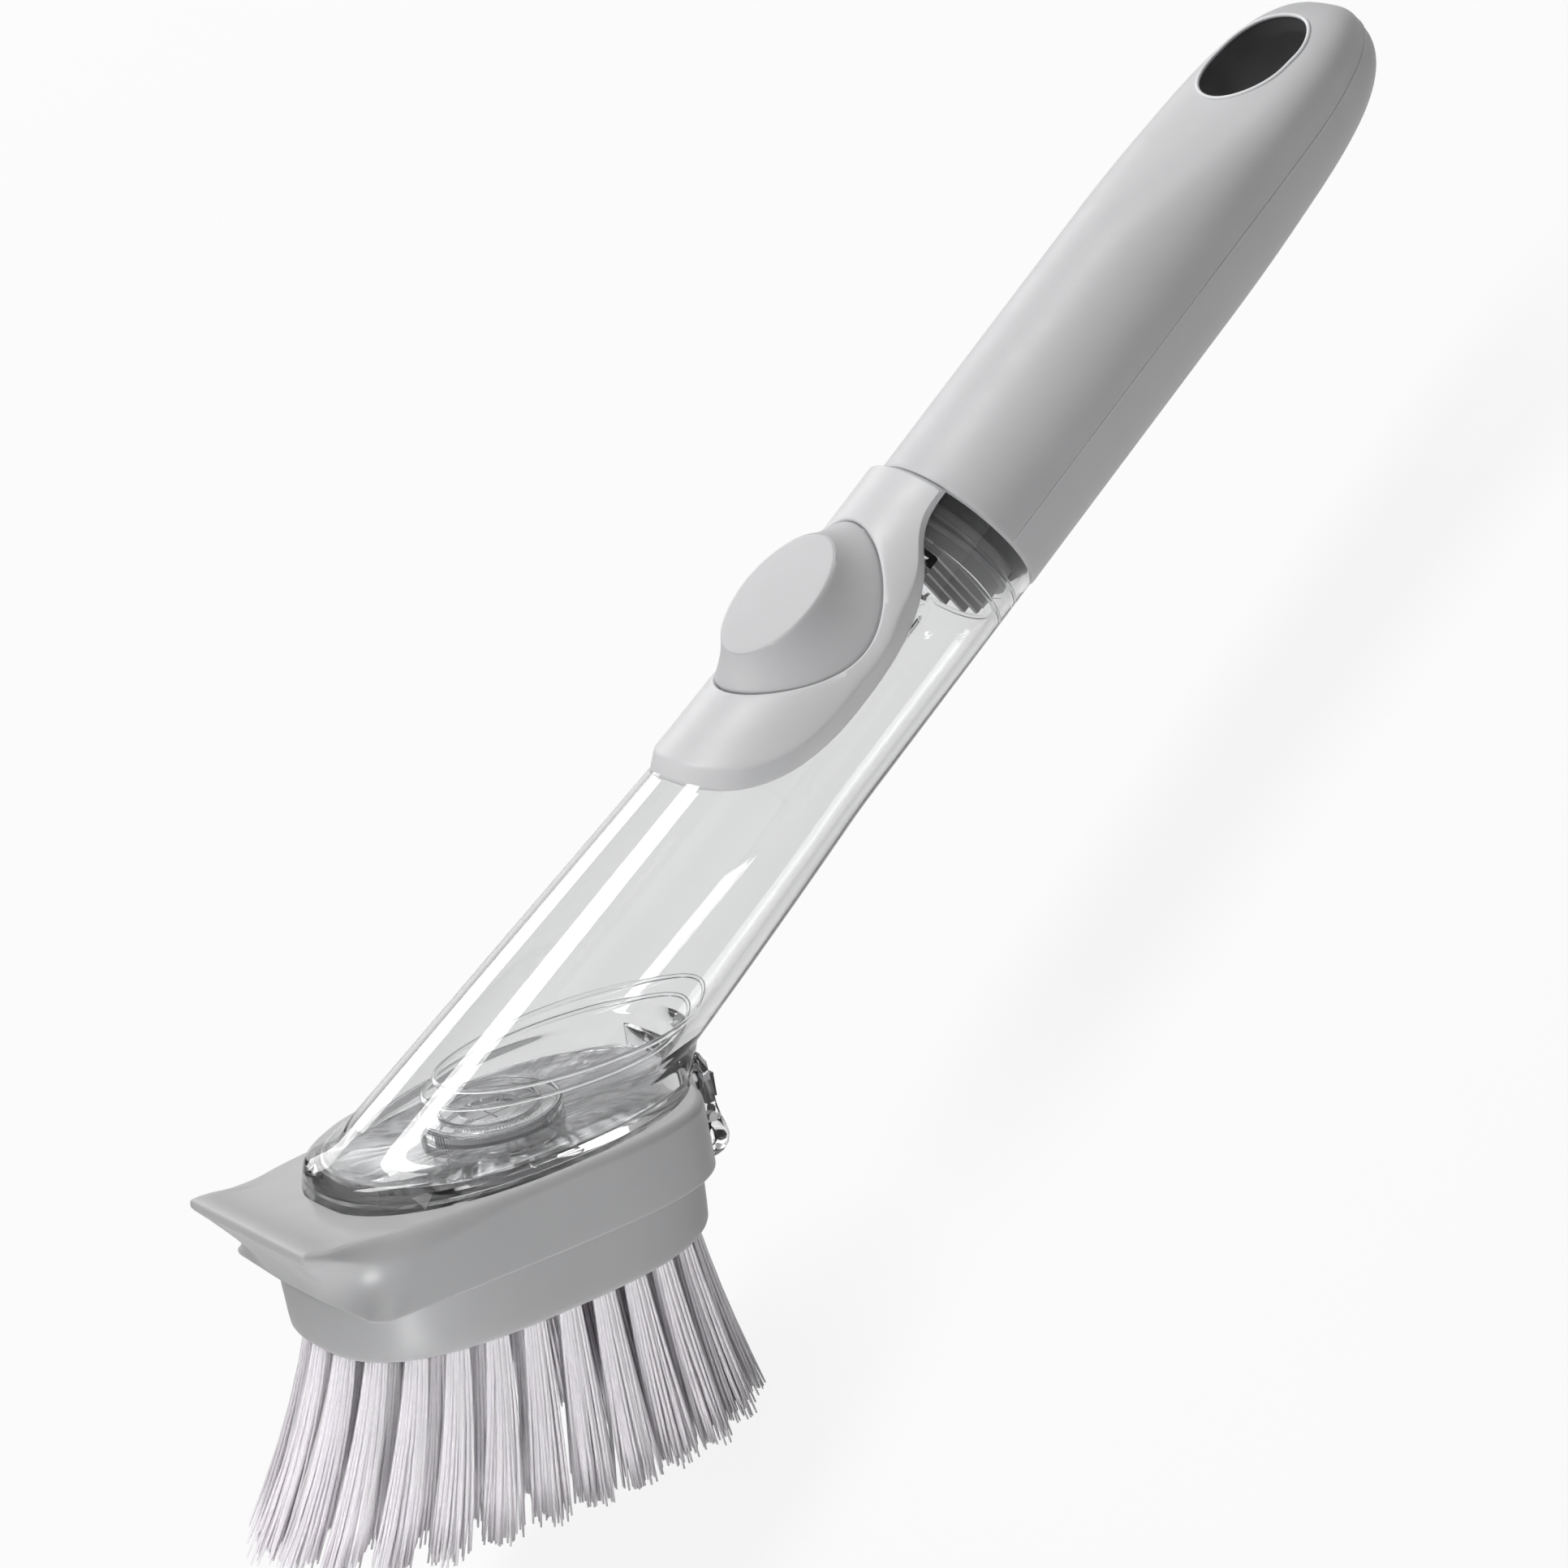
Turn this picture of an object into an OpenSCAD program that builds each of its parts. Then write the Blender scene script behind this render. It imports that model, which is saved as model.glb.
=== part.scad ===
// Soap filled dish wand: clear reservoir tube, twist-off handle, press button and clip-on brush head.
// +X runs along the tube towards the handle's tip, +Z is the button side.
// The origin is the centre of the hang hole. The head sits tilted at the far end of the tube.

/* [Handle] */
// Radius of the handle where it meets the tube
grip_r = 14.5; // [13:0.5:17]
// Length of the handle from the seam to its tip
grip_len = 104; // [95:1:120]
// Half thickness of the flattened end of the handle
grip_end_t = 9.6; // [8.5:0.1:11]
// Distance from the seam at which the handle starts to flatten
flat_from = 45; // [35:1:50]
// Length of the rounded tip
tip_len = 29; // [26:1:34]
// Thickness of the soft grip over its core
skin_wall = 2.1; // [1.5:0.1:3]
// Wall of the hollow core
core_wall = 1.8; // [1.2:0.1:2.4]
// Length of the straight part of the core
core_straight = 42; // [35:1:50]
// Radius of the core's closed end
core_end_r = 6.4; // [5:0.1:7]
// Length over which the core tapers
core_taper = 30; // [24:1:32]

/* [Hang hole] */
// Radius of the hang hole
hole_r = 8.6; // [7.5:0.1:9]
// Distance from the hang hole's centre to the handle's tip
hole_from_tip = 16; // [15:0.5:19]
// Wall of the dark liner in the hang hole
liner_wall = 1.4; // [1:0.1:2]
// How much longer than round the hole's mouths are, on each side
mouth_stretch = 2.6; // [0.5:0.1:3]
// Half height of the round middle of the hole
hole_straight = 4.2; // [3.5:0.1:5]

/* [Plug] */
// Depth of the plug below the seam
plug_depth = 8.6; // [7:0.2:9]
// Radius of the plug without its thread
plug_r = 10.9; // [10:0.1:11.2]
// Pitch of the plug's thread
thread_pitch = 3; // [2.5:0.5:4]
// Height of the thread above the plug
thread_h = 1.2; // [0.8:0.1:1.3]
// Thickness of the gasket at the seam
gasket_t = 0.9; // [0.6:0.1:1.5]
// Number of ribs across the plug's end
plug_ribs = 5; // [3:1:7]

/* [Reservoir] */
// Outer radius of the tube at its neck
tube_r = 14.3; // [13.5:0.1:15]
// Wall of the tube
tube_wall = 1.7; // [1.2:0.1:1.7]
// Distance from the seam at which the tube starts to widen
widen_from = 42; // [36:1:46]
// Growth of the tube's radius per millimetre of length below that point
widen_rate = 0.058; // [0.04:0.002:0.065]
// Half length of the oval foot
foot_a = 32.5; // [31:0.5:34]
// Half width of the oval foot
foot_b = 20; // [19:0.5:21]
// Height of the oval foot above the head
foot_h = 4; // [3:0.5:6]
// Shift of the foot towards the rear of the head
foot_shift = 2.5; // [1:0.5:3]
// Thickness of the plate that closes the foot
plate_t = 2; // [1.5:0.1:3]

/* [Outlet] */
// Outer radius of the outlet valve's seat
seat_r = 11; // [10:0.5:12]
// Inner radius of the outlet valve's seat
seat_bore = 7.5; // [6:0.5:8]
// Height of the seat above the foot plate
seat_h = 2.4; // [2:0.1:3]
// Thickness of the silicone valve
valve_t = 1.2; // [0.8:0.1:1.6]
// Shift of the outlet towards the rear of the head
outlet_shift = 3; // [2:0.5:4]
// Radius of the soap passage through the head
passage_r = 3.2; // [2.5:0.1:4]

/* [Button] */
// Distance from the seam to the button's centre
button_at = 28; // [27:0.5:30]
// Half length of the button's flat top
button_top_a = 11.6; // [10:0.1:12.5]
// Half width of the button's flat top
button_top_b = 9.2; // [8:0.1:10]
// Height of the button's top above the tube's axis
button_top_z = 18.9; // [18.3:0.1:20]
// Half length of the button's base
button_a = 16.2; // [15:0.1:16.6]
// Half width of the button's base
button_b = 13; // [12:0.1:13.2]
// Wall of the button cap
cap_wall = 1.4; // [1:0.1:1.8]
// Travel of the button
button_travel = 2.5; // [1.5:0.1:2.6]
// Thickness of the panel on the tube
panel_t = 1.7; // [1.4:0.1:2.2]
// Distance from the seam to the far end of the panel
panel_len = 61; // [56:1:64]
// Half width of the panel around the button
panel_b = 15.3; // [14.8:0.1:15.6]
// Half width of the panel's neck next to the handle
panel_neck = 9.6; // [8:0.1:11]
// Height of the pump well's floor above the tube's axis
well_z = 8.3; // [7.5:0.1:8.6]
// Radius of the pump diaphragm's dome
dome_r = 7.6; // [6.5:0.1:8]
// Wall of the pump diaphragm
dome_wall = 0.9; // [0.7:0.1:1.2]

/* [Head] */
// Angle between the tube and the head
head_tilt = 33.9; // [32:0.1:36]
// Distance from the seam to the head's centre, along the tube
head_reach = 131.7; // [130:0.1:134]
// Distance of the head's underside below the tube's axis
head_drop = 14.6; // [13.5:0.1:15]
// Half length of the head
head_a = 33.5; // [32:0.5:35]
// Half width of the head
head_b = 22.4; // [21:0.1:23]
// Height of the bristle block
block_h = 8.9; // [8:0.1:10]
// Height of the head's top above its underside
head_h = 20.4; // [20:0.1:21]
// Wall of the head cover
cover_wall = 2.2; // [1.6:0.1:3]
// Reach of the scraper's edge in front of the head's centre
scraper_reach = 41; // [38:0.5:43]
// Rise of the scraper's edge above the head's top
scraper_rise = 1.4; // [0.5:0.1:2]

/* [Bristles] */
// Length of a bristle below the block
bristle_len = 31; // [26:0.5:34]
// Radius of one modelled strand
strand_r = 0.55; // [0.4:0.05:0.6]
// Radius of a tuft where it leaves the block
tuft_r = 1.75; // [1.4:0.05:1.9]
// Thickness of the slice of the block that carries a group of tufts
slice_t = 1.5; // [1:0.1:2]
// Tufts in the outer, middle and inner ring
ring_tufts = [26, 16, 4]; // [4:1:28]
// Distance of the outer ring of tufts from the block's edge
ring_inset = 3.6; // [3:0.1:4.5]
// Distance between the rings of tufts
ring_step = 6.9; // [6.3:0.1:7.4]
// Angle by which the tufts at the head's two ends lean outwards
fan_angle = 17; // [10:1:20]
// Angle by which the tufts at the head's sides lean outwards
side_angle = 7; // [3:1:9]

/* [Latch] */
// Half width of the clear tongue at the rear of the foot
tongue_b = 9; // [8:0.1:10]
// Thickness of the tongue
tongue_t = 3.6; // [3:0.1:4.5]
// Half width of the release latch
latch_b = 5; // [4:0.1:6]
// Radius of the latch's pin
latch_pin_r = 0.8; // [0.6:0.05:1]

/* [Fits] */
// Gap between pieces that move past each other
gap = 0.3; // [0.2:0.05:0.35]
// Radial play of a pin in its hole
pin_play = 0.05; // [0.02:0.01:0.08]

/* [Hidden] */
$fn = 64;

// Places along the tube
seam_x = hole_from_tip - grip_len;
button_x = seam_x - button_at;
big = 400;

// Handle section at distance d from the seam
grip_sides = 36;
grip_rings = 22;
smooth_len = 45;
end_power = 2.5;
corner_gain = 1.5;
tip_cap = 0.06;
function ease(s) = let (c = max(0, min(1, s))) c * c * (3 - 2 * c);
function flat(d) = ease((d - flat_from) / smooth_len);
function tip_round(d) =
    pow(max(0, 1 - pow(max(0, (d - grip_len + tip_len) / tip_len), end_power)), 1 / end_power);
function grip_w(d) = grip_r * max(tip_cap, tip_round(d));
function grip_h(d) = (grip_r - (grip_r - grip_end_t) * flat(d)) * max(tip_cap, tip_round(d));
function grip_n(d) = 2 + corner_gain * flat(d);

// Point list of a rounded oval with half sizes a and b and corner exponent n
function spow(v, e) = sign(v) * pow(abs(v), e);
function oval(a, b, n, count) = [
    for (i = [0 : count - 1])
        let (t = 360 * i / count) [a * spow(cos(t), 2 / n), b * spow(sin(t), 2 / n)]
];

// Faces of a skin over rings of equally many points, with a flat cap at each end
function skin_sides(rings, sides) = [
    for (k = [0 : rings - 2], i = [0 : sides - 1], half = [0, 1])
        let (
            p = k * sides + i,
            q = k * sides + (i + 1) % sides
        )
        half == 0 ? [p, p + sides, q] : [q, p + sides, q + sides]
];
function skin_caps(rings, sides) = [
    [for (i = [0 : sides - 1]) i],
    [for (i = [0 : sides - 1]) rings * sides - 1 - i]
];
module skin(rings) {
    sides = len(rings[0]);
    polyhedron(
        points = [for (ring = rings, p = ring) p],
        faces = concat(skin_caps(len(rings), sides), skin_sides(len(rings), sides))
    );
}

// A solid of revolution about the tube's axis, given as [distance below the seam, radius] points
module turned(profile) {
    translate([seam_x, 0, 0]) rotate([0, -90, 0]) rotate_extrude() polygon([for (p = profile) [p[1], p[0]]]);
}

// A bar along X from x0 to x1
module bar_x(x0, x1, r) {
    translate([x0, 0, 0]) rotate([0, 90, 0]) cylinder(r = r, h = x1 - x0);
}

// Frame of the head: x to the rear, z away from the bristles, origin under the block's centre
module at_head() {
    translate([seam_x - head_reach, 0, -head_drop]) rotate([0, head_tilt, 0]) children();
}
module slab(a, b, n, z0, z1) {
    translate([0, 0, z0]) linear_extrude(height = z1 - z0) polygon(oval(a, b, n, oval_sides));
}
oval_sides = 72;

// Grip
module grip_body(inset) {
    skin([
        for (k = [0 : grip_rings])
            let (
                s = k / grip_rings,
                d = s < 0.4 ? grip_len * 1.5 * s : grip_len * (0.6 + 0.4 * sin((s - 0.4) * 150)),
                w = grip_w(d) - inset,
                h = grip_h(d) - inset
            )
            [for (p = oval(w, h, grip_n(d), grip_sides)) [seam_x + min(d, grip_len), p[0], p[1]]]
    ]);
}

// Shape of the hang hole: round in the middle, drawn out along the handle at both mouths
module hole_shape(r) {
    translate([0, 0, -big / 2]) cylinder(r = r, h = big);
    for (side = [-1, 1])
        hull() {
            translate([0, 0, side * hole_straight]) cylinder(r = r, h = 0.01, center = true, $fn = 32);
            for (end = [-1, 1])
                translate([end * mouth_stretch, 0, side * grip_r])
                    cylinder(r = r, h = 0.01, center = true, $fn = 32);
        }
}

// Core outline below the soft grip
core_r = grip_r - skin_wall;
module core_solid(inset, end_inset) {
    turned([
        [0, 0], [0, core_r - inset], [-core_straight, core_r - inset],
        [-core_straight - core_taper + end_inset, core_end_r - inset],
        [-core_straight - core_taper + end_inset, 0]
    ]);
}

module grip_skin() color("Silver") {
    difference() {
        grip_body(0);
        core_solid(0, 0);
        hole_shape(hole_r + liner_wall);
    }
}

module handle_core() color("DimGray") {
    difference() {
        core_solid(0, 0);
        core_solid(core_wall, core_wall);
        plug_spigot(0);
    }
}

// Dark liner of the hang hole
module hang_liner() color("DimGray") {
    difference() {
        intersection() {
            grip_body(liner_inset);
            hole_shape(hole_r + liner_wall);
        }
        hole_shape(hole_r);
    }
}
liner_inset = 0.4;

// Plug: closes the hollow core and screws into the tube's neck
spigot_len = 8;
rib_t = 1.1;
rib_h = 1.6;
plug_floor = 2;
module plug_spigot(inset) {
    bar_x(seam_x, seam_x + spigot_len, core_r - core_wall - inset);
}

// Helical ridge about the tube's axis from distance d0 to d1 below the seam
thread_steps = 24;
function thread_ring(d, phase, r_root, r_crest, half_root, half_crest) =
    let (
        t = -360 * d / thread_pitch + phase,
        side = r_crest > r_root ? 1 : -1
    )
    [
        for (p = [[r_root, -half_root], [r_crest, -half_crest], [r_crest, half_crest], [r_root, half_root]])
            [seam_x - d + side * p[1], p[0] * cos(t), p[0] * sin(t)]
    ];
module thread(d0, d1, phase, r_root, r_crest, half_root, half_crest) {
    steps = ceil((d1 - d0) / thread_pitch * thread_steps);
    skin([
        for (k = [0 : steps])
            thread_ring(d0 + (d1 - d0) * k / steps, phase, r_root, r_crest, half_root, half_crest)
    ]);
}
ridge_half = 0.55;
crest_half = 0.25;
root_bite = 0.3;
thread_start = 2;
thread_end = 1.8;

module neck_plug() color("DimGray") {
    difference() {
        union() {
            plug_spigot(0);
            bar_x(seam_x - plug_depth, seam_x, plug_r);
            thread(
                thread_start, plug_depth - thread_end, 0,
                plug_r - root_bite, plug_r + thread_h - gap, ridge_half, crest_half
            );
        }
        // hollow behind the floor
        bar_x(seam_x - plug_depth + plug_floor + rib_h, seam_x + big, plug_r - core_wall);
        // ribbed end
        for (i = [0 : plug_ribs])
            translate([
                seam_x - plug_depth - 1,
                -plug_r + (2 * i - 1) * plug_r / plug_ribs + rib_t / 2,
                -plug_r
            ])
                cube([1 + rib_h, 2 * plug_r / plug_ribs - rib_t, 2 * plug_r]);
    }
}

module plug_gasket() color("Black") {
    difference() {
        bar_x(seam_x - gasket_t, seam_x, tube_r - gap);
        bar_x(seam_x - gasket_t - 1, seam_x + 1, plug_r + gap);
    }
}

// Tube outline: straight, then widening, with an offset from the outer surface
function tube_at(d) = tube_r + widen_rate * max(0, d - widen_from);
tube_end = 175;
module tube_solid(off, d0, d1) {
    turned([
        [d0, 0], [d0, tube_at(d0) + off], [max(d0, widen_from), tube_at(widen_from) + off],
        [d1, tube_at(d1) + off], [d1, 0]
    ]);
}
// Everything above height z over the head's underside
module above_head(z) {
    at_head() translate([-big / 2, -big / 2, z]) cube(big);
}

// Pump well under the button
well_wall = 1.6;
well_a = button_a + 1;
port_r = 6;
module well_space(grow) {
    translate([button_x, 0, well_z - grow])
        linear_extrude(height = big) polygon(oval(well_a + grow, tube_r, 4, oval_sides));
}

foot_n = 2.3;
plate_lip = 1.2;
module foot_slab(inset, z0, z1) {
    at_head() translate([foot_shift, 0, 0]) slab(foot_a - inset, foot_b - inset, foot_n, z0, z1);
}

// Clear tongue behind the head, with a window for the latch
tongue_z0 = block_h + 0.5;
tongue_z1 = head_h + foot_h;
tongue_x0 = head_a + gap;
window_z0 = 11;
window_z1 = 20;
pin_z = 13.4;
pin_x = tongue_x0 + tongue_t / 2;
swell_r = 2;
swell_in = 1.5;
bridge_lift = 0.5;
module tongue() {
    difference() {
        union() {
            translate([tongue_x0, -tongue_b, tongue_z0])
                cube([tongue_t, 2 * tongue_b, tongue_z1 - tongue_z0]);
            // swelling at the tongue's lower end
            translate([tongue_x0 + tongue_t - swell_in, 0, tongue_z0 + swell_r])
                rotate([90, 0, 0]) cylinder(r = swell_r, h = 2 * tongue_b, center = true);
            translate([foot_shift, -tongue_b, head_h + bridge_lift])
                cube([tongue_x0 + tongue_t - foot_shift, 2 * tongue_b, foot_h - bridge_lift]);
        }
        translate([tongue_x0 - 1, -latch_b - gap, window_z0])
            cube([tongue_t + 4, 2 * (latch_b + gap), window_z1 - window_z0]);
        translate([pin_x, 0, pin_z]) rotate([90, 0, 0])
            cylinder(r = latch_pin_r, h = 2 * tongue_b + 2, center = true);
    }
}

module reservoir() color("White", 0.35) {
    difference() {
        union() {
            intersection() {
                tube_solid(0, gasket_t, tube_end);
                above_head(head_h);
                foot_and_up();
            }
            foot_slab(0, head_h, head_h + foot_h);
            at_head() tongue();
        }
        // hollow
        difference() {
            intersection() {
                union() {
                    tube_solid(-tube_wall, 0, tube_end);
                    foot_slab(tube_wall, head_h, head_h + foot_h - tube_wall);
                }
                above_head(head_h - 1);
                foot_inner();
            }
            well_space(well_wall);
        }
        foot_slab(plate_lip, head_h - 1, head_h + plate_t);
        intersection() {
            well_space(0);
            translate([button_x - big / 2, -big / 2, well_z]) cube(big);
        }
        // pump port
        translate([button_x, 0, 0]) cylinder(r = port_r, h = big);
    }
    thread(
        thread_start, plug_depth - thread_end, 180,
        tube_r - tube_wall + root_bite, plug_r + gap, ridge_half, crest_half
    );
}
// The tube stays inside the foot's outline once it is down at the foot
module foot_and_up() {
    union() {
        foot_slab(0, head_h - 1, head_h + foot_h);
        above_head(head_h + foot_h);
    }
}
module foot_inner() {
    union() {
        foot_slab(tube_wall, head_h - 2, head_h + foot_h + 1);
        above_head(head_h + foot_h);
    }
}

// Plate that closes the foot, with the seat of the outlet valve
module foot_plate() color("White", 0.35) {
    difference() {
        union() {
            foot_slab(plate_lip, head_h, head_h + plate_t);
            at_head() translate([outlet_shift, 0, head_h]) cylinder(r = seat_r, h = plate_t + seat_h);
        }
        at_head() translate([outlet_shift, 0, 0]) {
            translate([0, 0, head_h + plate_t]) cylinder(r = seat_bore, h = big);
            cylinder(r = passage_r, h = big);
        }
    }
}

// Slit silicone disc in the seat
slit_w = 0.3;
module outlet_valve() color("Gainsboro") {
    at_head() translate([outlet_shift, 0, head_h + plate_t])
        difference() {
            cylinder(r = seat_bore, h = valve_t);
            for (turn = [0, 90])
                rotate([0, 0, turn]) cube([2 * passage_r, slit_w, big], center = true);
        }
}

// Ring that holds the silicone disc down
module valve_retainer() color("LightGray") {
    at_head() translate([outlet_shift, 0, head_h + plate_t + valve_t])
        difference() {
            cylinder(r = seat_bore, h = seat_h - valve_t);
            translate([0, 0, -1]) cylinder(r = passage_r + 1.5, h = big);
        }
}

// Panel around the button
lobe_n = 2.5;
lobe_short = 5;
module panel_outline(grow) {
    lobe_a = (panel_len - lobe_short) / 2;
    translate([seam_x - panel_len + lobe_a - grow, 0])
        polygon(oval(lobe_a + grow, panel_b + grow, lobe_n, oval_sides));
    translate([seam_x - button_at, -panel_neck - grow])
        square([button_at, 2 * (panel_neck + grow)]);
}
module button_hole(grow) {
    translate([button_x, 0, 0])
        linear_extrude(height = big) polygon(oval(button_a + grow, button_b + grow, 2, oval_sides));
}
module button_panel() color("Silver") {
    difference() {
        intersection() {
            tube_solid(panel_t, gasket_t, panel_len + 2);
            linear_extrude(height = big) panel_outline(0);
        }
        tube_solid(0, 0, panel_len + 10);
        button_hole(gap);
    }
}

// Button cap: a flat oval top whose sides run down to the curve of the panel
cap_rings = 5;
cap_low = 4;
skirt_drop = 1;
function panel_z(y) = sqrt(pow(tube_r + panel_t, 2) - y * y);
function cap_ring(a, b, z_flat, curve) = [
    for (i = [0 : oval_sides - 1])
        let (t = 360 * i / oval_sides, z_curve = panel_z(button_b * sin(t)))
        [button_x + a * cos(t), b * sin(t), curve < 0 ? z_flat : z_curve + (z_flat - z_curve) * curve]
];
module cap_body(inset) {
    skin(concat(
        [cap_ring(button_a - inset, button_b - inset, cap_low, -1)],
        [
            for (k = [0 : cap_rings])
                let (f = k / cap_rings)
                cap_ring(
                    button_a + (button_top_a - button_a) * f - inset,
                    button_b + (button_top_b - button_b) * f - inset,
                    button_top_z - inset, f
                )
        ]
    ));
}
module button_cap() color("LightGray") {
    difference() {
        cap_body(0);
        cap_body(cap_wall);
        // the skirt ends just below the panel's face
        tube_solid(panel_t - skirt_drop, 0, panel_len);
        // room above the tube's shoulders for the whole travel
        translate([0, 0, button_travel + gap])
            difference() {
                tube_solid(0, 0, panel_len);
                well_space(0);
            }
    }
    // stem that meets the pump dome
    translate([button_x, 0, dome_top]) cylinder(r = stem_r, h = button_top_z - cap_wall / 2 - dome_top);
}
stem_r = 3.2;

// Silicone dome that pumps
dome_top = 15.6;
flange_r = 9.2;
flange_t = 1;
dome_draft = 2;
module pump_diaphragm() color("White") {
    translate([button_x, 0, 0])
        rotate_extrude()
            polygon([
                [port_r, well_z], [flange_r, well_z], [flange_r, well_z + flange_t],
                [dome_r, well_z + flange_t], [dome_r - dome_draft, dome_top - 1],
                [dome_r - dome_draft - 1, dome_top], [0, dome_top], [0, dome_top - dome_wall],
                [dome_r - dome_draft - 1.4, dome_top - dome_wall],
                [dome_r - dome_draft - dome_wall, dome_top - 1 - dome_wall],
                [dome_r - dome_wall, well_z + flange_t]
            ]);
}

// Ring that clamps the dome's flange to the well
module pump_ring() color("Gainsboro") {
    translate([button_x, 0, well_z + flange_t])
        difference() {
            cylinder(r = flange_r, h = 1);
            translate([0, 0, -1]) cylinder(r = dome_r + 0.2, h = 3);
        }
}

// Release latch at the rear of the head: a nose to press, and a tooth that reaches into the cover
nose_out = 1.8;
latch_t = 1.8;
nose_z0 = 14.6;
nose_z1 = 18.4;
tooth_in = 1.2;
tooth_low = 1.2;
tooth_high = 0.6;
module release_latch() color("DimGray") {
    at_head()
        difference() {
            union() {
                translate([pin_x, 0, pin_z]) rotate([90, 0, 0])
                    cylinder(r = latch_t, h = 2 * latch_b, center = true);
                translate([pin_x - latch_t / 2, -latch_b, pin_z])
                    cube([latch_t, 2 * latch_b, nose_z1 - pin_z]);
                translate([pin_x, -latch_b, nose_z0])
                    cube([tongue_t / 2 + nose_out, 2 * latch_b, nose_z1 - nose_z0]);
                translate([tongue_x0 - gap - tooth_in, -latch_b, pin_z - tooth_low])
                    cube([pin_x - tongue_x0 + gap + tooth_in, 2 * latch_b, tooth_low + tooth_high]);
            }
            translate([pin_x, 0, pin_z]) rotate([90, 0, 0])
                cylinder(r = latch_pin_r + pin_play, h = big, center = true);
        }
}

module latch_pin() color("Silver") {
    at_head() translate([pin_x, 0, pin_z]) rotate([90, 0, 0])
        cylinder(r = latch_pin_r, h = 2 * tongue_b, center = true);
}

// Head cover: rings from the step line up to the top, flaring into the scraper at the front
cover_sides = 72;
front_n = 5;
rear_n = 3;
edge_in = 1.8;
roof_share = 0.8;
function cover_point(t, z_share, shrink) =
    let (
        c = cos(t),
        front = c < 0,
        n = front ? front_n : rear_n,
        reach = front ? head_a + (scraper_reach - head_a) * pow(z_share, 1.5) : head_a,
        x = (reach - shrink * (front ? 0.3 : 1)) * spow(c, 2 / n),
        y = (head_b - shrink) * spow(sin(t), 2 / n),
        lift = scraper_rise * pow(max(0, (-x - head_a + 6) / (scraper_reach - head_a + 6)), 2)
    )
    [x, y, block_h + (head_h - block_h) * z_share + lift * z_share];
function cover_ring(z_share, shrink) = [
    for (i = [0 : cover_sides - 1]) cover_point(360 * i / cover_sides, z_share, shrink)
];

module head_cover_body() {
    levels = [[0, 0], [0.25, 0], [0.5, 0], [0.7, 0], [0.85, 0.3], [0.95, 0.9], [1, edge_in]];
    top = cover_ring(1, edge_in);
    inner = [for (p = top) [p[0] * roof_share, p[1] * roof_share, head_h]];
    skin(concat([for (l = levels) cover_ring(l[0], l[1])], [inner]));
}

module head_cover() color("Silver") {
    at_head()
        difference() {
            head_cover_body();
            // hollow under the roof
            slab(head_a - cover_wall, head_b - cover_wall, 3, block_h - 1, head_h - cover_wall);
            translate([outlet_shift, 0, 0]) cylinder(r = passage_r, h = big);
            // flat seat of the clear tongue
            translate([head_a - 0.2, -tongue_b - gap, 0]) cube([big, 2 * (tongue_b + gap), big]);
            // slot for the latch's tooth
            translate([head_a - 0.2 - tooth_in - gap, -latch_b - gap, pin_z - tooth_low - 1.5])
                cube([big, 2 * (latch_b + gap), big]);
        }
}

// Bristle block with tuft holes and a rim that fits into the cover
rim_h = 3;
hole_deep = 5;
block_in = 0.4;
rim_in = 0.1;
rim_t = 2;
module bristle_block() color("DarkGray") {
    at_head()
        difference() {
            union() {
                slab(head_a - block_in, head_b - block_in, 2.8, slice_t, block_h);
                slab(
                    head_a - cover_wall - rim_in, head_b - cover_wall - rim_in, 3,
                    block_h - 0.5, block_h + rim_h
                );
            }
            slab(head_a - cover_wall - rim_t, head_b - cover_wall - rim_t, 3, block_h - 2, big);
            translate([outlet_shift, 0, -1]) cylinder(r = passage_r, h = big);
            for (ring = [0 : 2], spot = tuft_spots(ring))
                translate([spot[0], spot[1], 0]) cylinder(r = tuft_r, h = hole_deep, $fn = 16);
        }
}

// Tufts stand on rings that follow the block's outline
function ring_a(ring) = head_a - ring_inset - ring_step * ring;
function ring_b(ring) = head_b - ring_inset - ring_step * ring;
function tuft_spots(ring) =
    ring == 2
    ? [
        for (i = [0 : ring_tufts[ring] - 1])
            let (side = i % 2 == 0 ? -1 : 1, k = floor(i / 2) + 1)
            [outlet_shift * (side + 1) / 2 + side * inner_step * (k + 0.25), 0]
    ]
    : [
        for (i = [0 : ring_tufts[ring] - 1])
            let (t = 360 * (i + 0.5) / ring_tufts[ring])
            [ring_a(ring) * spow(cos(t), 0.85), ring_b(ring) * spow(sin(t), 0.85)]
    ];

inner_step = 6;
strands = 9;
bend_share = 0.35;
function strand_spots() = concat(
    [[0, 0]],
    [for (i = [0 : strands - 2]) let (t = 360 * i / (strands - 1)) [cos(t), sin(t)]]
);
// Rings of one strand: the tip, a middle, and the root in the slice
tip_spread = 0.9;
ragged = 0.06;
front_lean = 0.1;
function strand_rings(spot, s, index) =
    let (
        lean_x = tan(fan_angle) * spot[0] / head_a - front_lean,
        lean_y = tan(side_angle) * spot[1] / head_b,
        len = bristle_len * (1 - ragged * abs(sin(index * 77)))
    )
    [
        for (f = [1, 0.5, 0])
            let (
                out = (tuft_r - strand_r) * (1 + f * tip_spread),
                lean = f * len * (1 - bend_share + bend_share * f)
            )
            [
                for (k = [0 : 2])
                    [
                        spot[0] + s[0] * out + lean_x * lean + strand_r * cos(120 * k),
                        spot[1] + s[1] * out + lean_y * lean + strand_r * sin(120 * k),
                        f == 0 ? slice_t / 2 : -f * len
                    ]
            ]
    ];
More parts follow.
